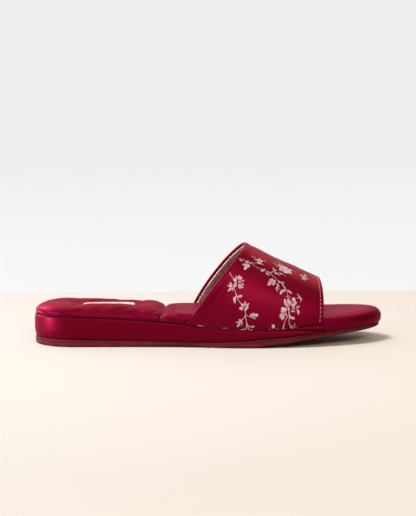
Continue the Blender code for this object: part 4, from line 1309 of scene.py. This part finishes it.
patch = {
    "halfLength": 18.5, "halfWidth": 9.0, "power": 3.2, "low": 26.5, "sides": 96,
    "rings": ((0.0, 0.0), (0.6, 0.0), (0.97, 0.0), (1.0, 0.12), (1.0, 0.3), (0.985, 0.42), (0.95, 0.45),
              (0.90, 0.40), (0.86, 0.36), (0.6, 0.34), (0.3, 0.33), (0.0, 0.33)),
    "cloth": ((0.77, 0.69, 0.69, 1), (0.55, 0.38, 0.38, 1), 5200.0, 0.00012),
}


def makePatch():
    turn = np.linspace(0, 2 * math.pi, patch["sides"] + 1)
    circle = np.column_stack([np.cos(turn), np.sin(turn)])
    edge = np.sign(circle) * np.abs(circle) ** (2 / patch["power"]) * (patch["halfLength"], patch["halfWidth"])
    middle = (footbed["hollow"]["station"], 0)
    rings = np.array([atHeight(edge * share + middle, patch["low"] + level) for share, level in patch["rings"]])
    piece = gridPiece("label_blank", rings, rings[..., :2], True)
    dress(piece, "label_patch", "patch", woven("patchCloth", *patch["cloth"]))


# thread tacks that hold the pad down

tacks = {
    "radius": 0.2, "lift": 0.12, "points": 7, "padTurns": (0.5, 2.2), "padHalf": 0.9, "sideHalf": 0.75,
    "padPlaces": ((32.0, 1.0), (75.0, -0.5)), "sidePlaces": ((90.9, 20.9), (91.4, 18.6)), "sideLean": 0.15,
    "halfWidth": 32, "castFrom": {"above": 60, "beside": 70},
    "thread": ((0.60, 0.34, 0.33, 1), (0.35, 0.10, 0.12, 1)),
}


def makeTacks():
    pad = BVHTree.FromObject(bpy.data.objects["footbed_pad"], bpy.context.evaluated_depsgraph_get())
    above, beside = tacks["castFrom"]["above"], tacks["castFrom"]["beside"]
    paths = []

    # short thread laid on the pad, seen from one direction
    def lay(starts, direction):
        places = [pad.ray_cast(Vector(toFrame(start)), Vector(direction))[0] for start in starts]
        paths.append(fromFrame(places) - np.array(direction) * tacks["lift"])

    share = np.linspace(-1, 1, tacks["points"])
    for station, across in tacks["padPlaces"]:
        for turn in tacks["padTurns"]:
            lay([(station + s * math.cos(turn), across + s * math.sin(turn), above)
                 for s in tacks["padHalf"] * share], (0, 0, -1))
    for station, level in tacks["sidePlaces"]:
        for side in (-1, 1):
            start = station + footbed["crease"]["slant"] * tacks["halfWidth"] * (1 + side)
            lay([(start + tacks["sideLean"] * s, side * beside, level + s)
                 for s in tacks["sideHalf"] * share], (0, -side, 0))
    piece = threadPiece("pad_tacks", paths, tacks["radius"])
    dress(piece, None, "footbed_satin", thread("tackThread", *tacks["thread"]))


makeOutsole()
makeWedge()
makeFootbed()
makeVamp()
print("main pieces ready")
makeLining()
makeTopstitch()
makeSprigs()
makePatch()
makeTacks()
print("lining, sprigs and stitches ready")
